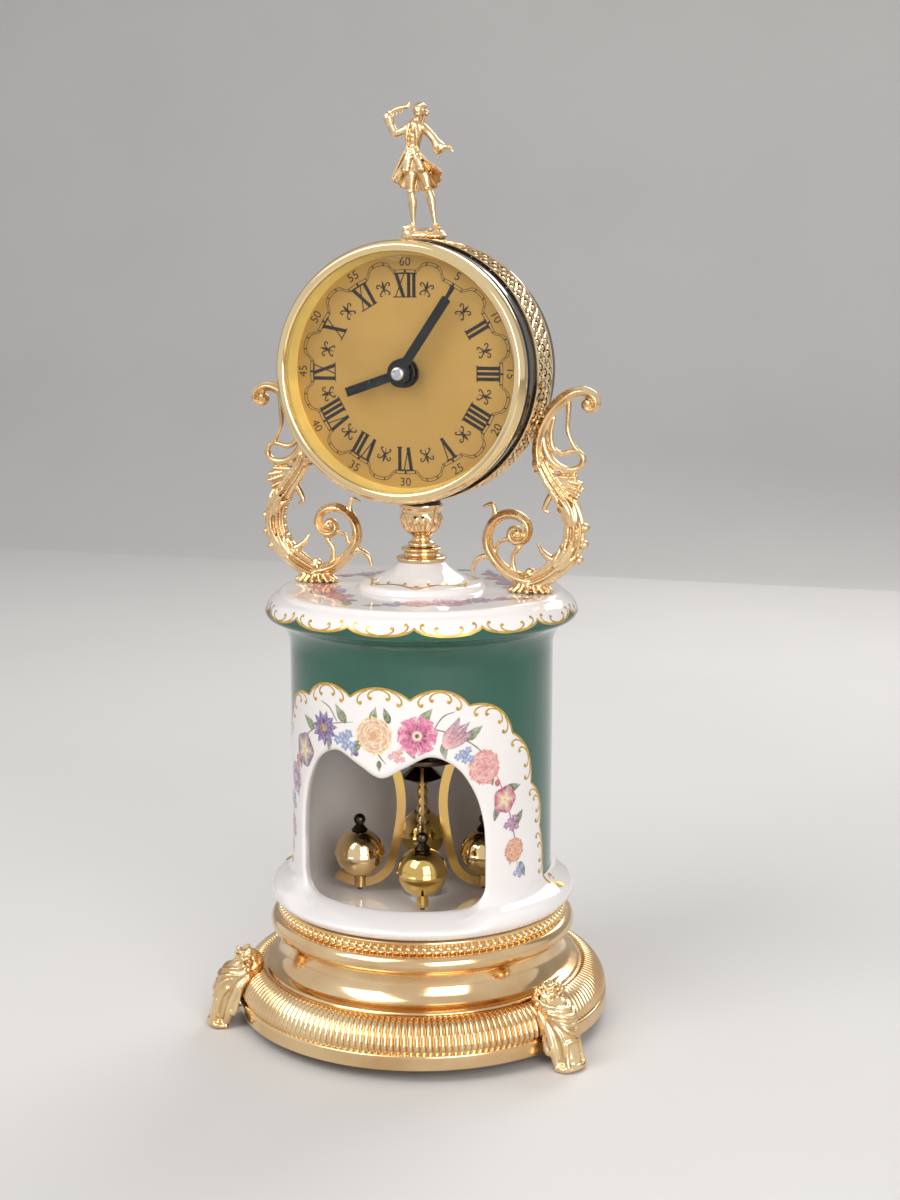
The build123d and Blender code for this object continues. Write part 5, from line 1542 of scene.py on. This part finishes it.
def dial_print(sizes):
    """All printing on the dial just over its plate: a skin of strokes, and one of figures."""
    level, numeral_reach = DIAL_FRONT + 0.03, 32.4
    height = sizes.numeral_height / MM
    flats = []
    fleur = fleur_strokes(height * 0.66)
    for hour, word in enumerate(ROMAN):
        flats += [turned_flat(stroke, 30 * hour, numeral_reach) for stroke in roman_strokes(word, height)]
        flats += [turned_flat(stroke, 30 * hour + 15, numeral_reach) for stroke in fleur]
    flats += round_track()
    strokes = []
    for number, flat in enumerate(flats):
        lifted = np.concatenate([flat, np.full((*flat.shape[:2], 1), level + 0.0006 * (number % 9))], -1)
        strokes.append(skin(from_head(lifted), cols=False))
    figures, faces = small_figures()
    return joined(strokes), (from_head(np.column_stack([figures, np.full(len(figures), level)])), faces)


# Figurine on the head


def cast_figure():
    """Standing figure in an open coat, one hand raised to the head, from rods, ellipsoids and a thin skirt:
    x right, y back and z up from the mound's foot. The skirt runs from waist w to hem h as
    (x, y) = w + (h - w) t^1.35 with z even, and waves across its folds."""
    mound = [
        blob((0, 0, 0.8), (9.9, 6.2, 2.6), 20, 10), blob((-6, -0.6, 2), (3.4, 4, 2.2)),
        blob((5.4, 0.2, 1.8), (3.6, 3.8, 2)), blob((0.4, 1.6, 2.2), (4.4, 3.4, 2.2)),
        blob((0.8, -3.2, 1.6), (3, 2.4, 1.6)),
    ]
    legs = [
        limb([(-4.6, 0.6, 5.2, 1.1), (-6, -1, 4.8, 1.05), (-7.8, -2.5, 4.4, 0.8)]),
        limb([(4.6, 0.8, 5, 1.1), (5.8, -0.6, 4.5, 1.05), (7.2, -2, 4.1, 0.8)]),
        limb([(-4.6, 0.4, 5.4, 1.1), (-4.6, 0, 7.4, 0.95), (-4.7, -0.1, 10.5, 1.3), (-4.9, 0, 14.8, 1.95),
              (-5.4, -0.7, 19.4, 1.6), (-5.5, -0.5, 24, 2.4), (-5.2, 0, 29, 2.8)], 16),
        limb([(4.6, 0.7, 5.2, 1.1), (4.4, 0.4, 7.4, 0.95), (3.8, 0.3, 11.4, 1.3), (3, 0.3, 16, 1.9),
              (1.8, -0.5, 20.4, 1.6), (0.6, -0.3, 24.6, 2.4), (-1.6, 0, 29, 2.8)], 16),
    ]
    trunk = [
        limb([(-4.2, 0, 28.6, 3.6), (-4.5, 0, 33, 3.1), (-4.5, 0, 37, 2.8), (-4.2, 0, 41.6, 3.7),
              (-3.8, 0, 45, 3.3)], 18, flat=0.82),
        limb([(-7.3, 0.2, 44.6, 1.7), (-3.6, 0.3, 45.9, 2), (0.2, 0.2, 44.4, 1.7)]),
        limb([(-3.3, -0.2, 45.8, 1.5), (-2.5, -0.4, 49.6, 1.25)]),
        blob((-3.6, -2.9, 46), (1.3, 0.9, 0.9)), limb([(-3.6, -3.2, 45.4, 0.8), (-3.9, -3.3, 43.2, 0.6)]),
    ]
    head = [
        blob((-1.95, -0.5, 51.4), (1.95, 2.25, 2.6)), blob((-2.15, -2.6, 51.1), (0.4, 0.6, 0.6)),
        blob((-2.05, -2, 49.6), (1, 0.7, 0.5)), blob((-1.5, 0.6, 52.6), (2.45, 2.6, 1.9)),
        blob((0.9, 1.6, 50.4), (1, 1.1, 1.2)), limb([(-0.1, 1.6, 49.6, 0.9), (-1.3, 2.4, 47, 0.85)]),
    ]
    arms = [
        limb([(-7.2, 0.3, 44, 2), (-9.8, 0, 43, 1.75), (-12.2, -0.3, 42.5, 1.75), (-13.9, -0.6, 45.4, 1.6)]),
        limb([(-14.1, -0.7, 46.2, 1.8), (-15, -0.9, 48.8, 2.4)], ends=2),
        limb([(-14.8, -1, 49.8, 1.1), (-12, -1.2, 51.6, 1.05), (-9, -1.3, 52.5, 0.95), (-6.4, -1.3, 53, 0.8),
              (-5.5, -1.3, 54.8, 0.45)]),
        limb([(-7.4, -1.6, 52.6, 0.5), (-5.4, -1.9, 52.7, 0.4)], 6),
        limb([(0.2, 0.2, 44, 2), (2.4, -0.2, 42.2, 1.75), (4.2, -0.8, 40.4, 1.7), (5.6, -1.4, 38.7, 1.7)]),
        limb([(5.7, -1.5, 38.5, 2), (7.3, -2, 36.4, 2.7)], ends=2),
        limb([(8.2, -2.3, 36.8, 0.95), (10.6, -2.6, 36.4, 1), (12, -2.8, 35.6, 0.7),
              (13.4, -2.9, 34.5, 0.4)]),
        limb([(11.2, -2.9, 36.8, 0.5), (13.2, -3.2, 35.9, 0.4)], 6),
    ]
    parts = mound + legs + trunk + head + arms
    parts += [limb([(x, -1.4, z + 0.6, 0.6), (x + 0.5, -1.6, z - 0.9, 0.4)], 6) for x, z in (
        (-14.4, 50.6), (-13, 50.4), (-11.6, 50.7), (-10.2, 51.2), (-8.9, 51.6))]
    parts += [limb([(x + 0.3, -2.4, z + 1, 0.6), (x, -2.5, z - 0.6, 0.4)], 6) for x, z in (
        (5.4, 35), (6.4, 34.3), (7.6, 34.2), (8.6, 34.8))]
    waist = flowing([(-6.9, -1.8, 36.2), (-7.2, 0.4, 35.8), (-6.2, 2.2, 35.6), (-4.5, 2.8, 35.4),
                     (-2.8, 2.2, 35.6), (-1.9, 0.6, 35.8), (-2.1, -1.8, 36.2)], 60)
    hem = flowing([(-13.5, -1.6, 24), (-11, 2, 21.2), (-7.4, 4.4, 19.6), (-2.4, 5.2, 19.2), (3.4, 4.6, 20.2),
                   (6.6, 2.4, 23.4), (8.3, -1.6, 26.7)], 60)
    drop = np.linspace(0, 1, 30)[:, None, None]
    fold = 0.55 * drop * np.sin(np.linspace(0, 15 * pi, 60))[:, None]
    skirt = waist + (hem - waist) * drop ** np.array([1.35, 1.35, 1])
    parts.append(shell(skirt + fold * unit((hem - hem.mean(0)) * LEVEL), 0.95))
    parts += [limb(edge, 8) for edge in (
        [(-5.4, -2.9, 46, 0.5), (-6.3, -3.4, 41, 0.55), (-6.7, -2.5, 36.6, 0.5),
         (-9.2, -2.4, 31.8, 0.55), (-11.4, -2.2, 27.8, 0.55), (-13.4, -1.8, 24.2, 0.5)],
        [(-2.5, -2.9, 46, 0.5), (-2, -3.4, 41, 0.55), (-2.1, -2.5, 36.6, 0.5),
         (0.8, -2.5, 32.2, 0.55), (4.4, -2.3, 29.4, 0.55), (8.2, -1.8, 26.9, 0.5)])]
    for low, high in (((-6.7, -3, 27.4), (-5.3, -2.5, 35.6)), ((-0.2, -2.9, 27.8), (-3.5, -2.5, 35.6))):
        low, high = np.array(low), np.array(high)
        parts.append(limb([(*high, 1.2), (*((low + high) / 2 - [0, 0.4, 0]), 1.6), (*low, 1.7)], 12))
        for share in np.linspace(0, 0.8, 5):
            x, y, z = low + (high - low) * share
            crease = [(x - 1.5, y - 1.1, z, 0.32), (x, y - 1.5, z - 0.2, 0.36), (x + 1.5, y - 1.1, z, 0.32)]
            parts.append(limb(crease, 6))
    for turn, rise in ((-2.4, 0.35), (-1.2, 0.55), (0, 0.4), (1.2, 0.6), (2.4, 0.4), (3.6, 0.5), (0.6, 1.1),
                       (2.6, 1.1)):
        out = np.array([2.1 * cos(turn) * cos(rise), 2.3 * sin(turn) * cos(rise), 2 * sin(rise)])
        parts.append(blob(out + [-1.6, 0.5, 52.4], (0.85, 0.85, 0.7), 8, 6))
    for side in (-1, 1):
        for step in range(2):
            parts.append(limb([(-1.9 + 2.1 * side, -0.8 + 1.2 * step, 51.4 - 1.1 * step, 0.65),
                               (-1.9 + 2.2 * side, 0.6 + 1 * step, 51.4 - 1.1 * step, 0.65)], 8))
        parts.append(blob((-2.05 + 0.8 * side, -2.45, 51.7), (0.42, 0.3, 0.28)))
        brow = [(-2.05 + 0.35 * side, -2.6, 52.3, 0.25), (-2.05 + 1.35 * side, -2.2, 52.4, 0.26)]
        parts.append(limb(brow, 6))
    parts += [limb([(x - 1.7, -0.6, z, 0.35), (x, -2.4, z - 0.1, 0.4), (x + 1.7, -0.6, z, 0.35)], 6)
              for x, z in ((-5.45, 19), (1.9, 20))]
    parts += [blob((-4.25, -3.1 - 0.1 * sin(step), 35.6 + 1.9 * step), (0.45, 0.4, 0.45), 8, 6)
              for step in range(5)]
    fit = (tops("figurine")[0] - 0.2 - FIGURE_FOOT) / joined(parts)[0][:, 2].max()
    placed = []
    for spots, quads in parts:
        x, y, z = (spots * fit + [0, FIGURE_DEPTH, FIGURE_FOOT]).T
        ground = HEAD_LEVEL + np.sqrt(np.maximum(BAND_RADIUS**2 - x**2, 0)) - 0.25
        placed.append((np.stack([x, y, np.maximum(z, ground)], -1), quads))
    return placed


# Pendulum


def pendulum_ball(node):
    """Ball with a rounded seam ring: r(b) = R cos b + s exp(-(z / w)^4), turned about its own axis."""
    radius, seam, seam_width = np.ptp(corners(node), axis=0)[0] / 2, 0.5, 0.62
    rise = np.linspace(-pi / 2, pi / 2, 61)
    height = (radius - seam) * np.sin(rise)
    reach = (radius - seam) * np.cos(rise) + seam * np.exp(-((height / seam_width) ** 4))
    reach = np.maximum(reach - 1e-4, 0) * (np.abs(rise) < 1.57)
    return skin(lathe(np.stack([reach, height], -1), 72) + middle_of(node))


def beaded_spindle():
    """Column of beads that ends in a ball: r = waist + (R - waist) |sin(pi z / bead)|^0.7."""
    bottom = corners("pendulum_spindle")[0][2]
    bead, waist, radius = 4.0, 1.5, 2.35
    height = np.linspace(0, HUB_LOW - bottom - 1.6 * radius, 201)[::-1]
    reach = waist + (radius - waist) * np.abs(np.sin(pi * height / bead)) ** 0.7
    ball = np.linspace(0, 0.8 * pi, 18)
    tip = np.stack([radius * np.sin(ball), bottom + radius * (1 - np.cos(ball))], -1)
    return skin(lathe(np.vstack([tip, np.stack([reach, HUB_LOW - height], -1), [[0, HUB_LOW]]]), 40))


def turned_hub():
    """Disc with a rounded rim, a ring of fine lines and a boss on the drive's shaft."""
    (rim,), (top,) = reaches("pendulum_hub"), tops("pendulum_hub")
    bore, disc = 1.05, HUB_LOW + 3
    profile = outline(
        (bore, HUB_LOW), (rim - 0.4, HUB_LOW), ((rim, HUB_LOW + 0.5), -0.12), (rim, disc - 1.2),
        ((rim - 0.5, disc - 0.7), -0.12), (11, disc - 0.5), ((9.4, disc - 0.5), 0.35), (5.4, disc),
        (3.4, disc + 1.2), (2.9, top), (bore, top))
    return turned(profile, 0.25, 96)


# Operators


class ClockFinishes(bpy.types.Operator):
    """Make the shared node groups and the finish of every material slot"""

    bl_idname = "clock.finishes"
    bl_label = "Finishes"

    def execute(self, context):
        tones = context.scene.clock_colours
        clouding_group()
        handling_group()
        recess_group()
        FINISHES.update({
            "gilt_polished": polished("Polished gilt", tones.gilt, tones.gilt_deep),
            "gilt_cast": cast_gilt("Cast gilt", tones.gilt, tones.gilt_deep, tones.patina),
            "porcelain_glaze": glaze("Porcelain glaze", tones.glaze_white, tones.glaze_green),
            "enamel": painted("Enamel"),
            "line": gold_paint("Gold line", tones.line_gold),
            "case_black": lacquer("Black lacquer", tones.black, 0.06, 0.1),
            "dial_gold": satin_dial("Dial gold", tones.dial),
            "dial_ink": lacquer("Dial ink", tones.ink, 0.35, 0.1),
            "bezel_gold": polished("Bezel gold", tones.bezel, tones.gilt, 0.07, 0.08),
            "reflector_gold": satin_dial("Reflector gold", tones.ring, 0.3),
            "clear_glass": clear_glass("Clear glass"),
            "hand_black": lacquer("Hand black", tones.black, 0.22, 0.12),
            "bright_steel": polished("Bright steel", (0.62, 0.63, 0.64), (0.5, 0.51, 0.52), 0.18, 0.15),
            "movement_plastic": lacquer("Moulded plastic", (0.03, 0.03, 0.032), 0.42, 0.12),
            "cell_jacket": cell_wrap("Cell jacket"),
            "ball_brass": polished("Ball brass", tones.brass, tones.gilt, 0.05, 0.06),
            "canopy_dark": polished("Dark bronze", (0.10, 0.075, 0.05), (0.05, 0.04, 0.03), 0.2, 0.15),
            "arm_brass": polished("Arm brass", tones.brass, tones.gilt_deep, 0.12, 0.12),
        })
        return {"FINISHED"}


class ClockBase(bpy.types.Operator):
    """Build the fluted band, the spun plinth and the beaded gallery"""

    bl_idname = "clock.base"
    bl_label = "Base"

    def execute(self, context):
        sizes = context.scene.clock_sizes
        for node, shape in (("fluted_band", fluted_band(sizes)), ("base_plinth", spun_plinth()),
                            ("bead_gallery", bead_ring(sizes))):
            add_form(node, shape, "gilt_polished", node)
        return {"FINISHED"}


class ClockFeet(bpy.types.Operator):
    """Cast the three mask feet"""

    bl_idname = "clock.feet"
    bl_label = "Feet"

    def execute(self, context):
        cast = cast_mesh("mask_foot", cast_foot(), 0.8)
        place = read(cast.vertices, "co")
        place[:, 2] = np.maximum(place[:, 2], 0)
        cast.vertices.foreach_set("co", place.ravel())
        for node, angle in (("foot_front_right", -30), ("foot_rear", 90), ("foot_front_left", 210)):
            mesh = cast.copy()
            mesh.transform(Matrix.Rotation(radians(angle), 4, "Z"))
            add_piece(node + "_cast", mesh, "gilt_cast", node, sharp=70)
        bpy.data.meshes.remove(cast)
        return {"FINISHED"}


class ClockPorcelain(bpy.types.Operator):
    """Build the porcelain casting with its window and its green ground"""

    bl_idname = "clock.porcelain"
    bl_label = "Porcelain"

    def execute(self, context):
        shape, green = porcelain_body(context.scene.clock_sizes)
        mesh = mesh_of("porcelain", *shape, {"green": green})
        add_piece("porcelain_casting", mesh, "porcelain_glaze", "porcelain_body")
        return {"FINISHED"}


class ClockPainting(bpy.types.Operator):
    """Paint the gold borders and the flowers on the glaze"""

    bl_idname = "clock.painting"
    bl_label = "Painting"

    def execute(self, context):
        sizes = context.scene.clock_sizes
        bloom = sizes.bloom_radius / MM
        panel, lid = panel_flowers(bloom), lid_flowers(bloom)
        for name, (points, quads), fields, finish in (
                ("gold_borders", gold_lines(sizes), None, "line"),
                ("panel_flowers", joined(panel.skins), {"paint": np.vstack(panel.paint)}, "enamel"),
                ("lid_flowers", joined(lid.skins), {"paint": np.vstack(lid.paint)}, "enamel")):
            quads = facing(points, quads, points * LEVEL + [0, 0, 20])
            mesh = mesh_of(name, points, quads, fields, closed=False)
            add_piece(name, mesh, "porcelain_glaze", finish=finish)
        return {"FINISHED"}


class ClockStem(bpy.types.Operator):
    """Turn the collar and the gadrooned vase under the head"""

    bl_idname = "clock.stem"
    bl_label = "Stem"

    def execute(self, context):
        add_form("collar", stem_collar(), "gilt_polished", "stem_collar")
        add_form("vase", stem_vase(), "gilt_cast", "stem_vase", finish="gilt_polished")
        return {"FINISHED"}


class ClockHandles(bpy.types.Operator):
    """Cast the two scrolled handles"""

    bl_idname = "clock.handles"
    bl_label = "Handles"

    def execute(self, context):
        right = cast_mesh("scroll_handle", cast_handle(), 0.8)
        left = right.copy()
        left.transform(Matrix.Scale(-1, 4, (1, 0, 0)))
        left.flip_normals()
        for node, mesh in (("handle_right", right), ("handle_left", left)):
            add_piece(node + "_cast", mesh, "gilt_cast", node, sharp=70)
        return {"FINISHED"}


class ClockHead(bpy.types.Operator):
    """Build the head's case, pierced band, bezel and glass"""

    bl_idname = "clock.head"
    bl_label = "Head"

    def execute(self, context):
        lace = lace_band(context.scene.clock_sizes)
        add_form("case", case_shell(), "case_black", "head_case")
        add_form("lace", lace, "gilt_cast", "filigree_band", finish="gilt_polished")
        add_form("bezel", bezel_ring(), "bezel_gold", "bezel")
        add_form("glass", glass_dome(), "clear_glass", "crystal")
        return {"FINISHED"}


class ClockDial(bpy.types.Operator):
    """Print the numerals, ornaments and minute track on the dial"""

    bl_idname = "clock.dial"
    bl_label = "Dial printing"

    def execute(self, context):
        (points, quads), figures = dial_print(context.scene.clock_sizes)
        quads = facing(points, quads, np.broadcast_to((0.0, -1.0, 0.0), points.shape))
        printing = mesh_of("printing", points, quads, closed=False)
        add_piece("dial_printing", printing, "dial_gold", finish="dial_ink")
        add_piece("dial_figures", mesh_of("figures", *figures, closed=False), "dial_gold", finish="dial_ink")
        return {"FINISHED"}


class ClockFigurine(bpy.types.Operator):
    """Cast the figurine on the head"""

    bl_idname = "clock.figurine"
    bl_label = "Figurine"

    def execute(self, context):
        mesh = cast_mesh("figure", cast_figure(), 0.72)
        add_piece("figurine_cast", mesh, "gilt_cast", "figurine", sharp=70)
        return {"FINISHED"}


class ClockPendulum(bpy.types.Operator):
    """Build the revolving pendulum's balls, spindle and hub"""

    bl_idname = "clock.pendulum"
    bl_label = "Pendulum"

    def execute(self, context):
        for number in range(1, 5):
            node = f"pendulum_ball_{number}"
            add_form(node, pendulum_ball(node), "ball_brass", node, body="pendulum")
        add_form("spindle", beaded_spindle(), "ball_brass", "pendulum_spindle", body="pendulum")
        add_form("hub", turned_hub(), "canopy_dark", "pendulum_hub", body="pendulum")
        return {"FINISHED"}


class ClockWorks(bpy.types.Operator):
    """Put its slot's finish on every node, for those that are shown as they are"""

    bl_idname = "clock.works"
    bl_label = "Works and fastenings"

    def execute(self, context):
        for part in frame["record"]["subparts"]:
            frame["nodes"][part["node"]].material_slots[0].material = FINISHES[part["material_slot"]]
        return {"FINISHED"}


# Photograph's view: the camera's side, its place in metres and its turn aside and down
VIEW_TURN = radians(18)
VIEW_PLACE, VIEW_ASIDE, VIEW_PITCH = (0.2166, -0.6667, 0.292), 0.016, radians(9.94)
LIGHT_AIM = Vector((0, 0, 0.18))


def backdrop_mesh():
    """Floor that sweeps up into a backdrop: a line of depth and height in metres, drawn out along X."""
    bend = outline((1.1, 0.0), ((2.0, 0.9), -0.36))
    sweep = np.vstack([[(-2.0, 0.0)], bend, [(2.0, 3.2)]])
    grid = np.stack([np.insert(sweep, 0, x, axis=1) for x in (-3.0, 0.0, 3.0)], 1) / MM
    points, quads = skin(grid, cols=False)
    quads = facing(points, quads, np.broadcast_to((0.0, -0.7, 0.7), points.shape))
    return mesh_of("backdrop", points, quads, closed=False)


def add_lamp(name, azimuth, height, away, energy, width):
    """Area light at an azimuth in degrees from the view, aimed at the clock."""
    lamp = bpy.data.lights.new(name, "AREA")
    lamp.energy = energy
    lamp.shape = "RECTANGLE"
    lamp.size, lamp.size_y = width, width * 1.2
    holder = new_object(name, lamp)
    spot = VIEW_TURN + radians(azimuth)
    holder.location = (away * sin(spot), -away * cos(spot), height)
    holder.rotation_euler = (LIGHT_AIM - holder.location).to_track_quat("-Z", "Y").to_euler()


def studio_world():
    """Even pale surroundings, brighter to the camera and in reflections than as light."""
    world = bpy.data.worlds.new("Studio")
    world.use_nodes = True
    tree = world.node_tree
    path = add(tree, "LightPath")
    seen = worked(tree, "MAXIMUM", path["Is Camera Ray"], path["Is Glossy Ray"])
    seen = worked(tree, "MAXIMUM", seen, path["Is Transmission Ray"])
    strength = worked(tree, "MULTIPLY_ADD", seen, 0.35, 0.45)
    fill(tree, tree.nodes["Background"], {"Color": (0.95, 0.96, 1.0, 1.0), "Strength": strength})
    return world


def add_camera():
    """Camera at the photograph's place, turned a little aside and down."""
    lens = bpy.data.cameras.new("photo_view")
    lens.sensor_fit = "VERTICAL"
    lens.sensor_height = 36
    lens.lens = 54
    camera = new_object("photo_view", lens)
    camera.location = VIEW_PLACE
    ahead = VIEW_TURN - VIEW_ASIDE
    forward = Vector((-sin(ahead) * cos(VIEW_PITCH), cos(ahead) * cos(VIEW_PITCH), -sin(VIEW_PITCH)))
    camera.rotation_euler = forward.to_track_quat("-Z", "Y").to_euler()
    return camera


class ClockStage(bpy.types.Operator):
    """Set the floor, the backdrop, the lights and the camera"""

    bl_idname = "clock.stage"
    bl_label = "Stage"

    def execute(self, context):
        scene = context.scene
        scene.view_settings.view_transform = "Standard"
        mesh = backdrop_mesh()
        mesh.shade_smooth()
        mesh.materials.append(studio_floor("Studio floor", scene.clock_colours.floor))
        new_object("backdrop", mesh)
        add_lamp("key", azimuth=20, height=0.48, away=1.05, energy=6.4, width=0.6)
        add_lamp("fill", azimuth=-52, height=1.15, away=1.0, energy=9.2, width=0.8)
        add_lamp("back", azimuth=150, height=0.9, away=1.0, energy=6.0, width=0.6)
        scene.world = studio_world()
        scene.camera = add_camera()
        return {"FINISHED"}


STEPS = (
    ClockFinishes, ClockBase, ClockFeet, ClockPorcelain, ClockPainting, ClockStem, ClockHandles, ClockHead,
    ClockDial, ClockFigurine, ClockPendulum, ClockWorks, ClockStage,
)


class ClockPanel(bpy.types.Panel):
    """Sidebar panel with the clock's sizes, colours and steps"""

    bl_idname = "VIEW3D_PT_clock"
    bl_label = "Mantel clock"
    bl_space_type = "VIEW_3D"
    bl_region_type = "UI"
    bl_category = "Clock"

    def draw(self, context):
        for group in (context.scene.clock_sizes, context.scene.clock_colours):
            box = self.layout.box()
            for key in group.__annotations__:
                box.prop(group, key)
        for step in STEPS:
            self.layout.operator(step.bl_idname)


CLASSES = (ClockSizes, ClockColours, *STEPS, ClockPanel)


def register():
    for each in CLASSES:
        bpy.utils.register_class(each)
    bpy.types.Scene.clock_sizes = bpy.props.PointerProperty(type=ClockSizes)
    bpy.types.Scene.clock_colours = bpy.props.PointerProperty(type=ClockColours)


def unregister():
    del bpy.types.Scene.clock_colours
    del bpy.types.Scene.clock_sizes
    for each in reversed(CLASSES):
        bpy.utils.unregister_class(each)


def main():
    register()
    for step in STEPS:
        area, name = step.bl_idname.split(".")
        getattr(getattr(bpy.ops, area), name)()


if __name__ == "__main__":
    main()
